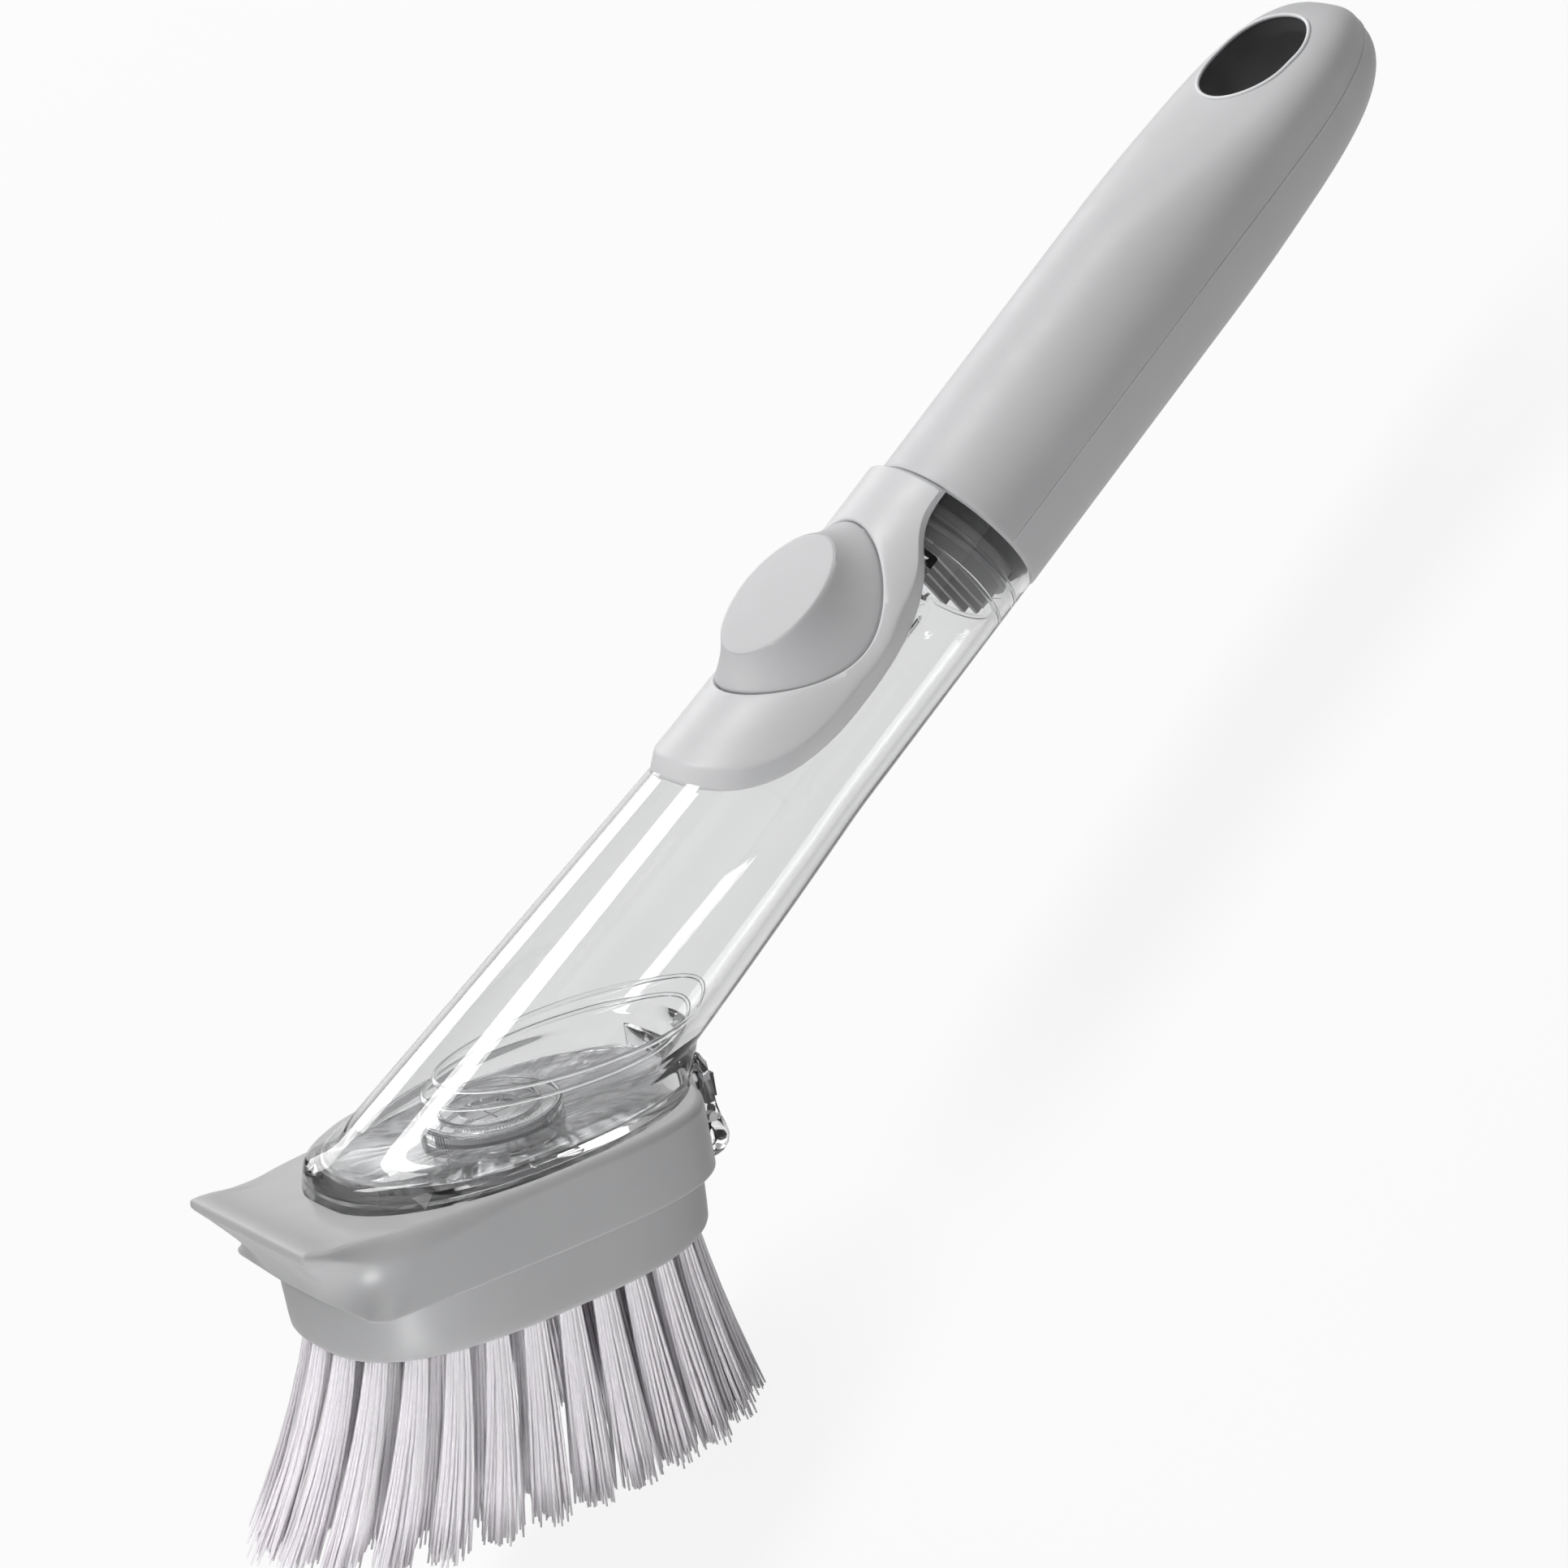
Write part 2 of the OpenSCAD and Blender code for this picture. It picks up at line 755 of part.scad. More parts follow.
module bristles(ring) {
    spots = tuft_spots(ring);
    all = [
        for (j = [0 : len(spots) - 1], m = [0 : strands - 1])
            strand_rings(spots[j], strand_spots()[m], j * strands + m)
    ];
    polyhedron(
        points = [for (strand = all, r = strand, p = r) p],
        faces = [
            for (q = [0 : len(all) - 1])
                let (base = q * 9)
                each concat(
                    [for (f = concat(skin_sides(3, 3), skin_caps(3, 3))) [for (v = f) v + base]]
                )
        ]
    );
}
module slice(ring) {
    outer = ring == 0 ? 0.4 : ring_inset + ring_step * (ring - 0.5);
    inner = ring_inset + ring_step * (ring + 0.5);
    difference() {
        slab(head_a - outer, head_b - outer, ring == 0 ? 2.8 : 2.4, 0, slice_t);
        if (ring < 2)
            slab(head_a - inner, head_b - inner, 2.4, -1, slice_t + 1);
        translate([outlet_shift, 0, -1]) cylinder(r = passage_r, h = big);
    }
}
module bristles_outer() color("White") at_head() { slice(0); bristles(0); }
module bristles_middle() color("White") at_head() { slice(1); bristles(1); }
module bristles_inner() color("White") at_head() { slice(2); bristles(2); }

// Metal anchors that hold the tufts in the block
anchor_t = 0.3;
anchor_h = 2;
module tuft_anchors() color("Silver") {
    at_head()
        for (ring = [0 : 2], spot = tuft_spots(ring))
            translate([spot[0], spot[1], hole_deep - anchor_h / 2])
                cube([anchor_t, 2 * tuft_r, anchor_h], center = true);
}

grip_skin();
handle_core();
hang_liner();
neck_plug();
plug_gasket();
reservoir();
foot_plate();
outlet_valve();
valve_retainer();
button_panel();
button_cap();
pump_diaphragm();
pump_ring();
release_latch();
latch_pin();
head_cover();
bristle_block();
bristles_outer();
bristles_middle();
bristles_inner();
tuft_anchors();
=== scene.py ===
import math
import random

import bmesh
import bpy
import numpy as np
from mathutils import Matrix, Vector


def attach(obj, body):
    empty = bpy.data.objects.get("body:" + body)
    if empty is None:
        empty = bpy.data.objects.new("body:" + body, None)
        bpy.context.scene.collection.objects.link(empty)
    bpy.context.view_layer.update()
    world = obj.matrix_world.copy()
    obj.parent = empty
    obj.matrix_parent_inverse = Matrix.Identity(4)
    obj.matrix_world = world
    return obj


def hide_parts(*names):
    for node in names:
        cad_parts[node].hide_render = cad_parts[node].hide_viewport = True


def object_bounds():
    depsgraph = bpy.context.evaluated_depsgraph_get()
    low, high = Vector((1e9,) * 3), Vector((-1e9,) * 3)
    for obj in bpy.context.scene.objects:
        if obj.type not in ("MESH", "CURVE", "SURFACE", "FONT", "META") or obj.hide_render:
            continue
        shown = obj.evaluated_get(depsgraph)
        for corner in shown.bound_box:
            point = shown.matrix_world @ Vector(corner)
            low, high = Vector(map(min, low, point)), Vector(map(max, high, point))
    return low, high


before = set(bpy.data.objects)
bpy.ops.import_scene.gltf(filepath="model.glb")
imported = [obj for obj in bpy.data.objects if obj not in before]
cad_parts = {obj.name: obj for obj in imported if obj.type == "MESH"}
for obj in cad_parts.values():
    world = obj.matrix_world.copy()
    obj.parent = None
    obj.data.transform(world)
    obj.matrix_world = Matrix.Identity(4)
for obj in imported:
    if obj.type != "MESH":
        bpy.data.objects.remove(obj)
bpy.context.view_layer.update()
scene = bpy.context.scene
MM = 0.001

# ---------------------------------------------------------------- the part's named values, in mm
SEAM_X = -88.0
BUTTON_X = -116.0
GRIP_R, GRIP_LEN, GRIP_END_T, FLAT_FROM, TIP_LEN = 14.5, 104.0, 9.6, 45.0, 29.0
SMOOTH_LEN, END_POWER, CORNER_GAIN = 45.0, 2.5, 1.5
CORE_R, CORE_STRAIGHT, CORE_TAPER, CORE_END_R = 12.4, 42.0, 30.0, 6.4
HOLE_R, HOLE_STRAIGHT, MOUTH_STRETCH = 8.6, 4.2, 2.6
TUBE_R, TUBE_WALL, WIDEN_FROM, WIDEN_RATE = 14.3, 1.7, 42.0, 0.058
NECK_GAP, NECK_BORE = 0.25, 12.45
PANEL_T, PANEL_GAP = 1.7, 0.3
WELL_Z, WELL_HALF, WELL_WALL = 8.3, 17.2, 1.6
WELL_SIDE_DROP = 3.4
HEAD_A, HEAD_B, BLOCK_H, HEAD_H = 33.5, 22.4, 8.9, 20.4
SCRAPER, SCRAPER_RISE = 41.0, 1.4
FOOT_A, FOOT_B, FOOT_H, FOOT_SHIFT, FOOT_N = 30.8, 20.0, 4.0, 4.0, 2.3
PLATE_T, SEAT_R, SEAT_BORE, SEAT_TOP = 2.0, 11.0, 7.5, 4.4
OUTLET_SHIFT = 3.0
TONGUE_X, TONGUE_N = 34.0, 4.5
LATCH_HALF, WINDOW_Z0, WINDOW_Z1 = 5.3, 11.6, 20.0
BUTTON_R = 16.0
TILT = math.radians(33.9)
HEAD_O = np.array([SEAM_X - 131.7, 0.0, -14.6])
HEAD_X = np.array([math.cos(TILT), 0.0, -math.sin(TILT)])
HEAD_Y = np.array([0.0, 1.0, 0.0])
HEAD_Z = np.array([math.sin(TILT), 0.0, math.cos(TILT)])
TURN = 2 * math.pi


def head(hx, hy, hz):
    """Head frame to row frame."""
    hx, hy, hz = np.broadcast_arrays(hx, hy, hz)
    return (
        HEAD_O
        + hx[..., None] * HEAD_X
        + hy[..., None] * HEAD_Y
        + hz[..., None] * HEAD_Z
    )


# ---------------------------------------------------------------- mesh helpers
def piece(name, points, faces, body, slot, nodes=(), material=None, sharp=None, outward=True):
    mesh = bpy.data.meshes.new(name)
    mesh.from_pydata([tuple(float(c) * MM for c in p) for p in points], [], faces)
    mesh.update()
    if outward:
        bm = bmesh.new()
        bm.from_mesh(mesh)
        bmesh.ops.recalc_face_normals(bm, faces=bm.faces)
        bm.to_mesh(mesh)
        bm.free()
    mesh.shade_smooth()
    if sharp is not None:
        mesh.set_sharp_from_angle(angle=math.radians(sharp))
    obj = bpy.data.objects.new(name, mesh)
    scene.collection.objects.link(obj)
    if material is not None:
        mesh.materials.append(material)
        if material.name.startswith("clear"):
            # light reaches what is behind the clear walls
            obj.visible_shadow = False
            obj.visible_diffuse = False
    if body is not None:
        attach(obj, body)
        if nodes:
            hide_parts(*nodes)
    return obj


def loft(rings, start=False, end=False, ring_closed=True, loop=False):
    """Points and faces of a skin over rings of equally many points."""
    n = len(rings[0])
    points = np.concatenate([np.asarray(r, float) for r in rings])
    faces = []
    count = len(rings) if loop else len(rings) - 1
    for k in range(count):
        a, b = k * n, ((k + 1) % len(rings)) * n
        for i in range(n if ring_closed else n - 1):
            j = (i + 1) % n
            faces.append((a + i, a + j, b + j, b + i))
    if start:
        faces.append(tuple(range(n - 1, -1, -1)))
    if end:
        faces.append(tuple(range((len(rings) - 1) * n, len(rings) * n)))
    return points, faces


def sweep(path, radius, sides=8, closed=False):
    """A round bead along a path."""
    path = np.asarray(path, float)
    n = len(path)
    rings = []
    up = np.array([0.0, 0.0, 1.0])
    for k in range(n):
        if closed:
            t = path[(k + 1) % n] - path[k - 1]
        else:
            t = path[min(k + 1, n - 1)] - path[max(k - 1, 0)]
        t = t / np.linalg.norm(t)
        if k == 0:
            up = up if abs(t @ up) < 0.9 else np.array([0.0, 1.0, 0.0])
        u = np.cross(t, up)
        u /= np.linalg.norm(u)
        v = np.cross(u, t)
        up = v
        r = radius[k] if hasattr(radius, "__len__") else radius
        a = np.linspace(0, TURN, sides, endpoint=False)
        rings.append(path[k] + r * (np.cos(a)[:, None] * u + np.sin(a)[:, None] * v))
    return loft(rings, start=not closed, end=not closed, loop=closed)


def apply_boolean(obj, cutters, operation="DIFFERENCE"):
    for c in cutters:
        m = obj.modifiers.new("cut", "BOOLEAN")
        m.operation = operation
        m.solver = "EXACT"
        m.object = c
    bpy.context.view_layer.update()
    dg = bpy.context.evaluated_depsgraph_get()
    new = bpy.data.meshes.new_from_object(obj.evaluated_get(dg))
    obj.modifiers.clear()
    old = obj.data
    obj.data = new
    bpy.data.meshes.remove(old)
    for c in cutters:
        data = c.data
        bpy.data.objects.remove(c)
        bpy.data.meshes.remove(data)


def spow(v, e):
    return np.sign(v) * np.abs(v) ** e


def ease(s):
    c = np.clip(s, 0, 1)
    return c * c * (3 - 2 * c)


def smin(a, b, k):
    h = np.clip(0.5 + 0.5 * (b - a) / k, 0, 1)
    return b * (1 - h) + a * h - k * h * (1 - h)


def smax(a, b, k):
    return -smin(-a, -b, k)


def outline(x, y, cx, a, b, n):
    """Rough distance to a rounded oval's outline, negative inside."""
    return ((np.abs((x - cx) / a) ** n + np.abs(y / b) ** n) ** (1 / n) - 1) * min(a, b)


def cast(field, start, directions, reach=80.0):
    """Distance along each direction from start to where the field turns positive."""
    lo = np.zeros(len(directions))
    hi = np.full(len(directions), reach)
    for _ in range(40):
        mid = (lo + hi) / 2
        inside = field(start + directions * mid[:, None]) < 0
        lo = np.where(inside, mid, lo)
        hi = np.where(inside, hi, mid)
    return start + directions * ((lo + hi) / 2)[:, None]


# ---------------------------------------------------------------- materials
def new_material(name):
    mat = bpy.data.materials.new(name)
    mat.use_nodes = True
    nt = mat.node_tree
    bsdf = nt.nodes["Principled BSDF"]
    coord = nt.nodes.new("ShaderNodeTexCoord")
    return mat, nt, bsdf, coord.outputs["Object"]


def noise(nt, vector, scale, detail=3.0, rough=0.5):
    n = nt.nodes.new("ShaderNodeTexNoise")
    n.inputs["Scale"].default_value = scale
    n.inputs["Detail"].default_value = detail
    n.inputs["Roughness"].default_value = rough
    nt.links.new(vector, n.inputs["Vector"])
    return n.outputs["Fac"]


def remap(nt, value, low, high, from_low=0.3, from_high=0.7):
    m = nt.nodes.new("ShaderNodeMapRange")
    m.inputs["From Min"].default_value = from_low
    m.inputs["From Max"].default_value = from_high
    m.inputs["To Min"].default_value = low
    m.inputs["To Max"].default_value = high
    nt.links.new(value, m.inputs["Value"])
    return m.outputs["Result"]


def tint(nt, value, dark, light):
    r = nt.nodes.new("ShaderNodeValToRGB")
    r.color_ramp.elements[0].position = 0.3
    r.color_ramp.elements[0].color = (*dark, 1)
    r.color_ramp.elements[1].position = 0.7
    r.color_ramp.elements[1].color = (*light, 1)
    nt.links.new(value, r.inputs["Fac"])
    return r.outputs["Color"]


def bump(nt, bsdf, height, strength, distance):
    b = nt.nodes.new("ShaderNodeBump")
    b.inputs["Strength"].default_value = strength
    b.inputs["Distance"].default_value = distance
    nt.links.new(height, b.inputs["Height"])
    nt.links.new(b.outputs["Normal"], bsdf.inputs["Normal"])


def plastic(name, color, rough, vary=0.03, grain=2600.0, depth=0.00002, strength=0.25, sheen=0.0):
    """Moulded plastic: slight flow marks in the colour, fine spark-eroded grain."""
    mat, nt, bsdf, co = new_material(name)
    flow = noise(nt, co, 34.0, 4.0, 0.6)
    dark = tuple(c * (1 - vary) for c in color)
    light = tuple(min(1.0, c * (1 + vary)) for c in color)
    nt.links.new(tint(nt, flow, dark, light), bsdf.inputs["Base Color"])
    fine = noise(nt, co, grain, 2.0, 0.6)
    nt.links.new(remap(nt, noise(nt, co, 210.0, 3.0), rough - 0.05, rough + 0.05), bsdf.inputs["Roughness"])
    bump(nt, bsdf, fine, strength, depth)
    bsdf.inputs["Specular IOR Level"].default_value = 0.45
    if sheen:
        bsdf.inputs["Sheen Weight"].default_value = sheen
        bsdf.inputs["Sheen Roughness"].default_value = 0.4
    return mat


def clear_plastic(name, color, rough=0.015, wave=0.00006):
    """Clear moulded plastic with faint sink waves."""
    mat, nt, bsdf, co = new_material(name)
    faint = tuple(c * 0.985 for c in color)
    nt.links.new(tint(nt, noise(nt, co, 40.0, 2.0), faint, color), bsdf.inputs["Base Color"])
    nt.links.new(remap(nt, noise(nt, co, 160.0, 3.0), rough * 0.5, rough * 2.0), bsdf.inputs["Roughness"])
    bsdf.inputs["Transmission Weight"].default_value = 1.0
    bsdf.inputs["IOR"].default_value = 1.49
    stretch = nt.nodes.new("ShaderNodeMapping")
    stretch.inputs["Scale"].default_value = (22.0, 130.0, 130.0)
    nt.links.new(co, stretch.inputs["Vector"])
    bump(nt, bsdf, noise(nt, stretch.outputs["Vector"], 1.0, 2.0, 0.4), 0.35, wave)
    return mat


def steel(name):
    mat, nt, bsdf, co = new_material(name)
    stretch = nt.nodes.new("ShaderNodeMapping")
    stretch.inputs["Scale"].default_value = (4000.0, 300.0, 4000.0)
    nt.links.new(co, stretch.inputs["Vector"])
    brushed = noise(nt, stretch.outputs["Vector"], 1.0, 3.0)
    nt.links.new(tint(nt, brushed, (0.5, 0.5, 0.51), (0.66, 0.66, 0.67)), bsdf.inputs["Base Color"])
    nt.links.new(remap(nt, brushed, 0.25, 0.42), bsdf.inputs["Roughness"])
    bsdf.inputs["Metallic"].default_value = 1.0
    return mat


def nylon(name, color, shade):
    """Nylon fibres: nearly white, with a soft sheen."""
    mat, nt, bsdf, co = new_material(name)
    nt.links.new(tint(nt, noise(nt, co, 900.0, 2.0), shade, color), bsdf.inputs["Base Color"])
    nt.links.new(remap(nt, noise(nt, co, 400.0, 2.0), 0.35, 0.5), bsdf.inputs["Roughness"])
    bsdf.inputs["Sheen Weight"].default_value = 0.9
    bsdf.inputs["Sheen Roughness"].default_value = 0.6
    return mat


GRIP = plastic("grip_satin", (0.56, 0.56, 0.57), 0.46, sheen=0.06)
GRIP_LINE = plastic("grip_parting_line", (0.66, 0.66, 0.67), 0.4)
# painted highlight: a lighter grey that stands in for the light caught on the hang hole's rounded rims
RIM_PAINTED_HIGHLIGHT = plastic("rim_painted_highlight", (0.74, 0.74, 0.75), 0.38)
DARK = plastic("dark_satin", (0.075, 0.075, 0.08), 0.42, vary=0.08)
# painted shade: a near-black grey that stands in for the shade deep inside the hang hole
LINER_PAINTED_SHADE = plastic("liner_painted_shade", (0.12, 0.12, 0.125), 0.42, vary=0.07)
PLUG = plastic("plug_grey", (0.2, 0.2, 0.205), 0.4, vary=0.06)
BLACK = plastic("gasket_black", (0.012, 0.012, 0.013), 0.55, vary=0.1)
PALE = plastic("panel_pale", (0.62, 0.62, 0.63), 0.42)
BUTTON = plastic("button_grey", (0.55, 0.55, 0.56), 0.43)
COVER = plastic("cover_grey", (0.43, 0.43, 0.435), 0.36)
BLOCK = plastic("block_grey", (0.4, 0.4, 0.405), 0.42)
CLEAR = clear_plastic("clear_body", (0.9, 0.902, 0.905))
CLEAR_FINE = clear_plastic("clear_detail", (0.97, 0.972, 0.975), rough=0.04)
SILICONE = plastic("silicone_milky", (0.72, 0.72, 0.73), 0.5)
SILICONE.node_tree.nodes["Principled BSDF"].inputs["Transmission Weight"].default_value = 0.45
STEEL = steel("pin_steel")
NYLON = nylon("nylon_white", (0.985, 0.955, 0.985), (0.93, 0.89, 0.94))

for cad_node, mat in {
    "handle_core": DARK, "neck_plug": PLUG,
    "outlet_valve": SILICONE, "valve_retainer": CLEAR_FINE, "pump_diaphragm": SILICONE,
    "pump_ring": CLEAR_FINE, "release_latch": DARK, "latch_pin": STEEL, "tuft_anchors": STEEL,
}.items():
    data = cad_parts[cad_node].data
    if not data.materials:
        data.materials.append(mat)
    for i in range(len(data.materials)):
        data.materials[i] = mat


# ---------------------------------------------------------------- handle
def grip_flat(d):
    return ease((d - FLAT_FROM) / SMOOTH_LEN)


def tip_round(d):
    t = np.clip((d - GRIP_LEN + TIP_LEN) / TIP_LEN, 0, 1)
    return np.maximum(0, 1 - t ** END_POWER) ** (1 / END_POWER)


def grip_size(d):
    k = np.maximum(0.02, tip_round(d))
    return GRIP_R * k, (GRIP_R - (GRIP_R - GRIP_END_T) * grip_flat(d)) * k, 2 + CORNER_GAIN * grip_flat(d)


def grip_ring(d, sides=192, inset=0.0):
    w, h, n = grip_size(d)
    t = np.linspace(0, TURN, sides, endpoint=False)
    y = (w - inset) * spow(np.cos(t), 2 / n)
    z = (h - inset) * spow(np.sin(t), 2 / n)
    return np.stack([np.full(sides, SEAM_X + d), y, z], 1)


def grip_surface_z(x, y):
    """Half height of the handle at x, y."""
    w, h, n = grip_size(x - SEAM_X)
    return h * np.maximum(0, 1 - (np.abs(y) / w) ** n) ** (1 / n)


def hole_point(t, z, r):
    """Point of the hang hole's wall at angle t and height z: drawn out along X at the mouths."""
    f = np.clip((np.abs(z) - HOLE_STRAIGHT) / (GRIP_R - HOLE_STRAIGHT), 0, 2)
    c = np.cos(t)
    side = np.clip(c * 14, -1, 1)
    return np.stack([side * MOUTH_STRETCH * f + r * c, r * np.sin(t), z], -1)


def hole_rim(t, r):
    z = np.full(len(t), 9.0)
    for _ in range(30):
        p = hole_point(t, z, r)
        z = 0.5 * z + 0.5 * grip_surface_z(p[:, 0], p[:, 1])
    return hole_point(t, z, r)


steps = np.concatenate([
    [0.0, 0.12, 0.4], np.linspace(1.0, GRIP_LEN - TIP_LEN, 60),
    GRIP_LEN - TIP_LEN * np.cos(np.linspace(0, math.pi / 2, 60)[1:]),
])
steps = np.unique(np.clip(steps, 0, GRIP_LEN))
rings = []
for d in steps:
    edge = 0.35 if d == 0 else (0.12 if d < 0.2 else 0.0)
    rings.append(grip_ring(d, inset=edge))
grip = piece("grip", *loft(rings, start=True, end=True), None, None)

ang = np.linspace(0, TURN, 128, endpoint=False)
half = [HOLE_STRAIGHT, 5.5, 7.0, 9.0, 11.0, GRIP_R, 30.0]
heights = [-z for z in reversed(half)] + half
rings = [hole_point(ang, np.full(128, z), HOLE_R + 0.05) for z in heights]
hole_cutter = piece("hole_cutter", *loft(rings, True, True), None, None)
core = [(-20.0, CORE_R), (0.0, CORE_R), (CORE_STRAIGHT, CORE_R), (CORE_STRAIGHT + CORE_TAPER, CORE_END_R)]
t = np.linspace(0, TURN, 96, endpoint=False)
rings = [np.stack([np.full(96, SEAM_X + x), r * np.cos(t), r * np.sin(t)], 1) for x, r in core]
core_cutter = piece("core_cutter", *loft(rings, True, True), None, None)
apply_boolean(grip, [hole_cutter, core_cutter])
grip.data.materials.clear()
grip.data.materials.append(GRIP)
grip.data.shade_smooth()
grip.data.set_sharp_from_angle(angle=math.radians(32))
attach(grip, "handle")
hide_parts("grip_skin")

# liner of the hang hole, coloured dark as painted shade for the hole's inner wall
rim_top = hole_rim(ang, HOLE_R)
rings = []
for s in np.linspace(1, -1, 41):
    rings.append(hole_point(ang, rim_top[:, 2] * s * 0.985, HOLE_R))
for s in np.linspace(-1, 1, 21):
    rings.append(hole_point(ang, rim_top[:, 2] * s * 0.97, HOLE_R + 0.6))
piece("hang_hole_liner", *loft(rings, loop=True), "handle", "dark_plastic", ["hang_liner"], LINER_PAINTED_SHADE, sharp=40)

# pale bead round each mouth; its light colour is a painted highlight on the mouth's rounded edge
for side, name in ((1, "hang_rim_top"), (-1, "hang_rim_bottom")):
    path = hole_rim(ang, HOLE_R + 0.12)
    path[:, 2] *= side
    piece(name, *sweep(path, 0.34, 10, closed=True), "handle", "grip", (), RIM_PAINTED_HIGHLIGHT)

# parting line of the mould, along both sides of the handle and round its tip
d = np.concatenate([np.linspace(0.3, 90, 60), GRIP_LEN - 14 * np.cos(np.linspace(0, math.pi / 2, 30))])
d = np.unique(np.clip(d, 0, GRIP_LEN - 0.4))
w, h, n = grip_size(d)
near = np.stack([SEAM_X + d, -w, np.zeros(len(d))], 1)
far = near[::-1] * [1, -1, 1]
piece("grip_parting_bead", *sweep(np.concatenate([near, far]), 0.13, 6), "handle", "grip", (), GRIP_LINE)


# ---------------------------------------------------------------- clear body
def head_coords(p):
    q = p - HEAD_O
    return q @ HEAD_X, q @ HEAD_Y, q @ HEAD_Z


def body_field(p, off, foot_in=0.0):
    """Rough distance to the clear body's skin, off mm inside its outer face."""
    d = SEAM_X - p[:, 0]
    r = np.hypot(p[:, 1], p[:, 2])
    grow = np.where(d > WIDEN_FROM + 6, d - WIDEN_FROM - 3, np.clip(d - WIDEN_FROM, 0, 6) ** 2 / 12)
    cone = r - (TUBE_R + WIDEN_RATE * grow) + off
    hx, hy, hz = head_coords(p)
    along = np.where(hx > 0, np.maximum(hx - 1.6 * np.maximum(0, hz - 27.0), 0), hx)
    upper = outline(along, hy, FOOT_SHIFT + 1.4, FOOT_A + 2.2, 22.0, 2.4) + off + foot_in
    f = smax(cone, upper, 5.0)
    oval = outline(hx, hy, FOOT_SHIFT, FOOT_A, FOOT_B, FOOT_N) + off + foot_in
    rim = smax(oval, hz - HEAD_H - FOOT_H + off, 1.5)
    return smin(f, rim, 2.5)


def well_floor(p):
    """Height of the button well's floor, deeper at both sides where the button's skirt goes down."""
    aside = ease((np.abs(p[:, 1]) - 9.2) / 1.2)
    return WELL_Z - WELL_SIDE_DROP * aside * ease((12.6 - np.abs(p[:, 0] - BUTTON_X)) / 1.6)


def outer_field(p):
    f = body_field(p, 0.0)
    well = np.maximum(np.abs(p[:, 0] - BUTTON_X) - WELL_HALF, well_floor(p) - p[:, 2])
    return np.maximum(f, -well)


def inner_field(p):
    f = body_field(p, TUBE_WALL, foot_in=0.8)
    well = np.maximum(
        np.abs(p[:, 0] - BUTTON_X) - WELL_HALF - WELL_WALL, well_floor(p) - WELL_WALL - p[:, 2])
    return np.maximum(f, -well)


SIDES = 160
FAN_X = -130.0
theta = np.linspace(0, TURN, SIDES, endpoint=False)


def fan_ring(field, u, plane):
    """Ring of the body in a plane that turns from square to the tube (u=0) to the head's plane (u=1)."""
    rear0, front0 = np.array([FAN_X, 0, -20.0]), np.array([FAN_X, 0, 20.0])
    rear1, front1 = head(40.0, 0.0, plane), head(-35.0, 0.0, plane)
    rear, front = rear0 + (rear1 - rear0) * u, front0 + (front1 - front0) * u
    e1 = (front - rear) / np.linalg.norm(front - rear)
    centre = rear + (front - rear) * (-rear[2] / (front[2] - rear[2]))
    directions = np.cos(theta)[:, None] * e1 + np.sin(theta)[:, None] * HEAD_Y
    return cast(field, centre, directions)


def straight_ring(field, x):
    directions = np.stack([np.zeros(SIDES), np.sin(theta), np.cos(theta)], 1)
    return cast(field, np.array([x, 0.0, 0.0]), directions)


# rings lie close together at the ends of the well
neck_end = SEAM_X - NECK_GAP
xs = np.concatenate([
    np.linspace(neck_end - 0.5, -98.4, 10), [-98.75, -98.85], np.linspace(-99.4, -132.6, 34),
])
xs_in = np.concatenate([
    np.linspace(neck_end - 0.1, -96.8, 9), [-97.15, -97.25], np.linspace(-98, -129.9, 30),
])
outer = [straight_ring(outer_field, x) for x in xs if x > FAN_X]
us = 1 - (1 - np.linspace(0, 1, 90)) ** 1.25
outer += [fan_ring(outer_field, u, HEAD_H + 0.03) for u in us]
inner = [straight_ring(inner_field, x) for x in xs_in]
inner += [fan_ring(inner_field, u, HEAD_H + 2.0) for u in us]
lip = outer[0] * [0, 0.98, 0.98] + [neck_end, 0, 0]
points, faces = loft(inner[::-1] + [lip * [1, 0.975, 0.975]] + [lip] + outer, start=True, end=True)
piece("clear_body", points, faces, "tube", "clear_plastic", ["reservoir"], CLEAR, sharp=50)


def head_box(name, x0, x1, y0, y1, z0, z1, edge, material, body, slot):
    """A box with rounded edges, in the head frame."""
    pts = head(
        np.array([x0, x1, x1, x0, x0, x1, x1, x0]), np.array([y0, y0, y1, y1, y0, y0, y1, y1]),
        np.array([z0, z0, z0, z0, z1, z1, z1, z1]))
    quads = [(0, 3, 2, 1), (4, 5, 6, 7), (0, 1, 5, 4), (1, 2, 6, 5), (2, 3, 7, 6), (3, 0, 4, 7)]
    obj = piece(name, pts, quads, body, slot, (), material)
    bm = bmesh.new()
    bm.from_mesh(obj.data)
    bmesh.ops.bevel(bm, geom=bm.edges[:], offset=edge * MM, segments=3, affect="EDGES", profile=0.5)
    bm.to_mesh(obj.data)
    bm.free()
    obj.data.shade_smooth()
    obj.data.set_sharp_from_angle(angle=math.radians(50))
    return obj


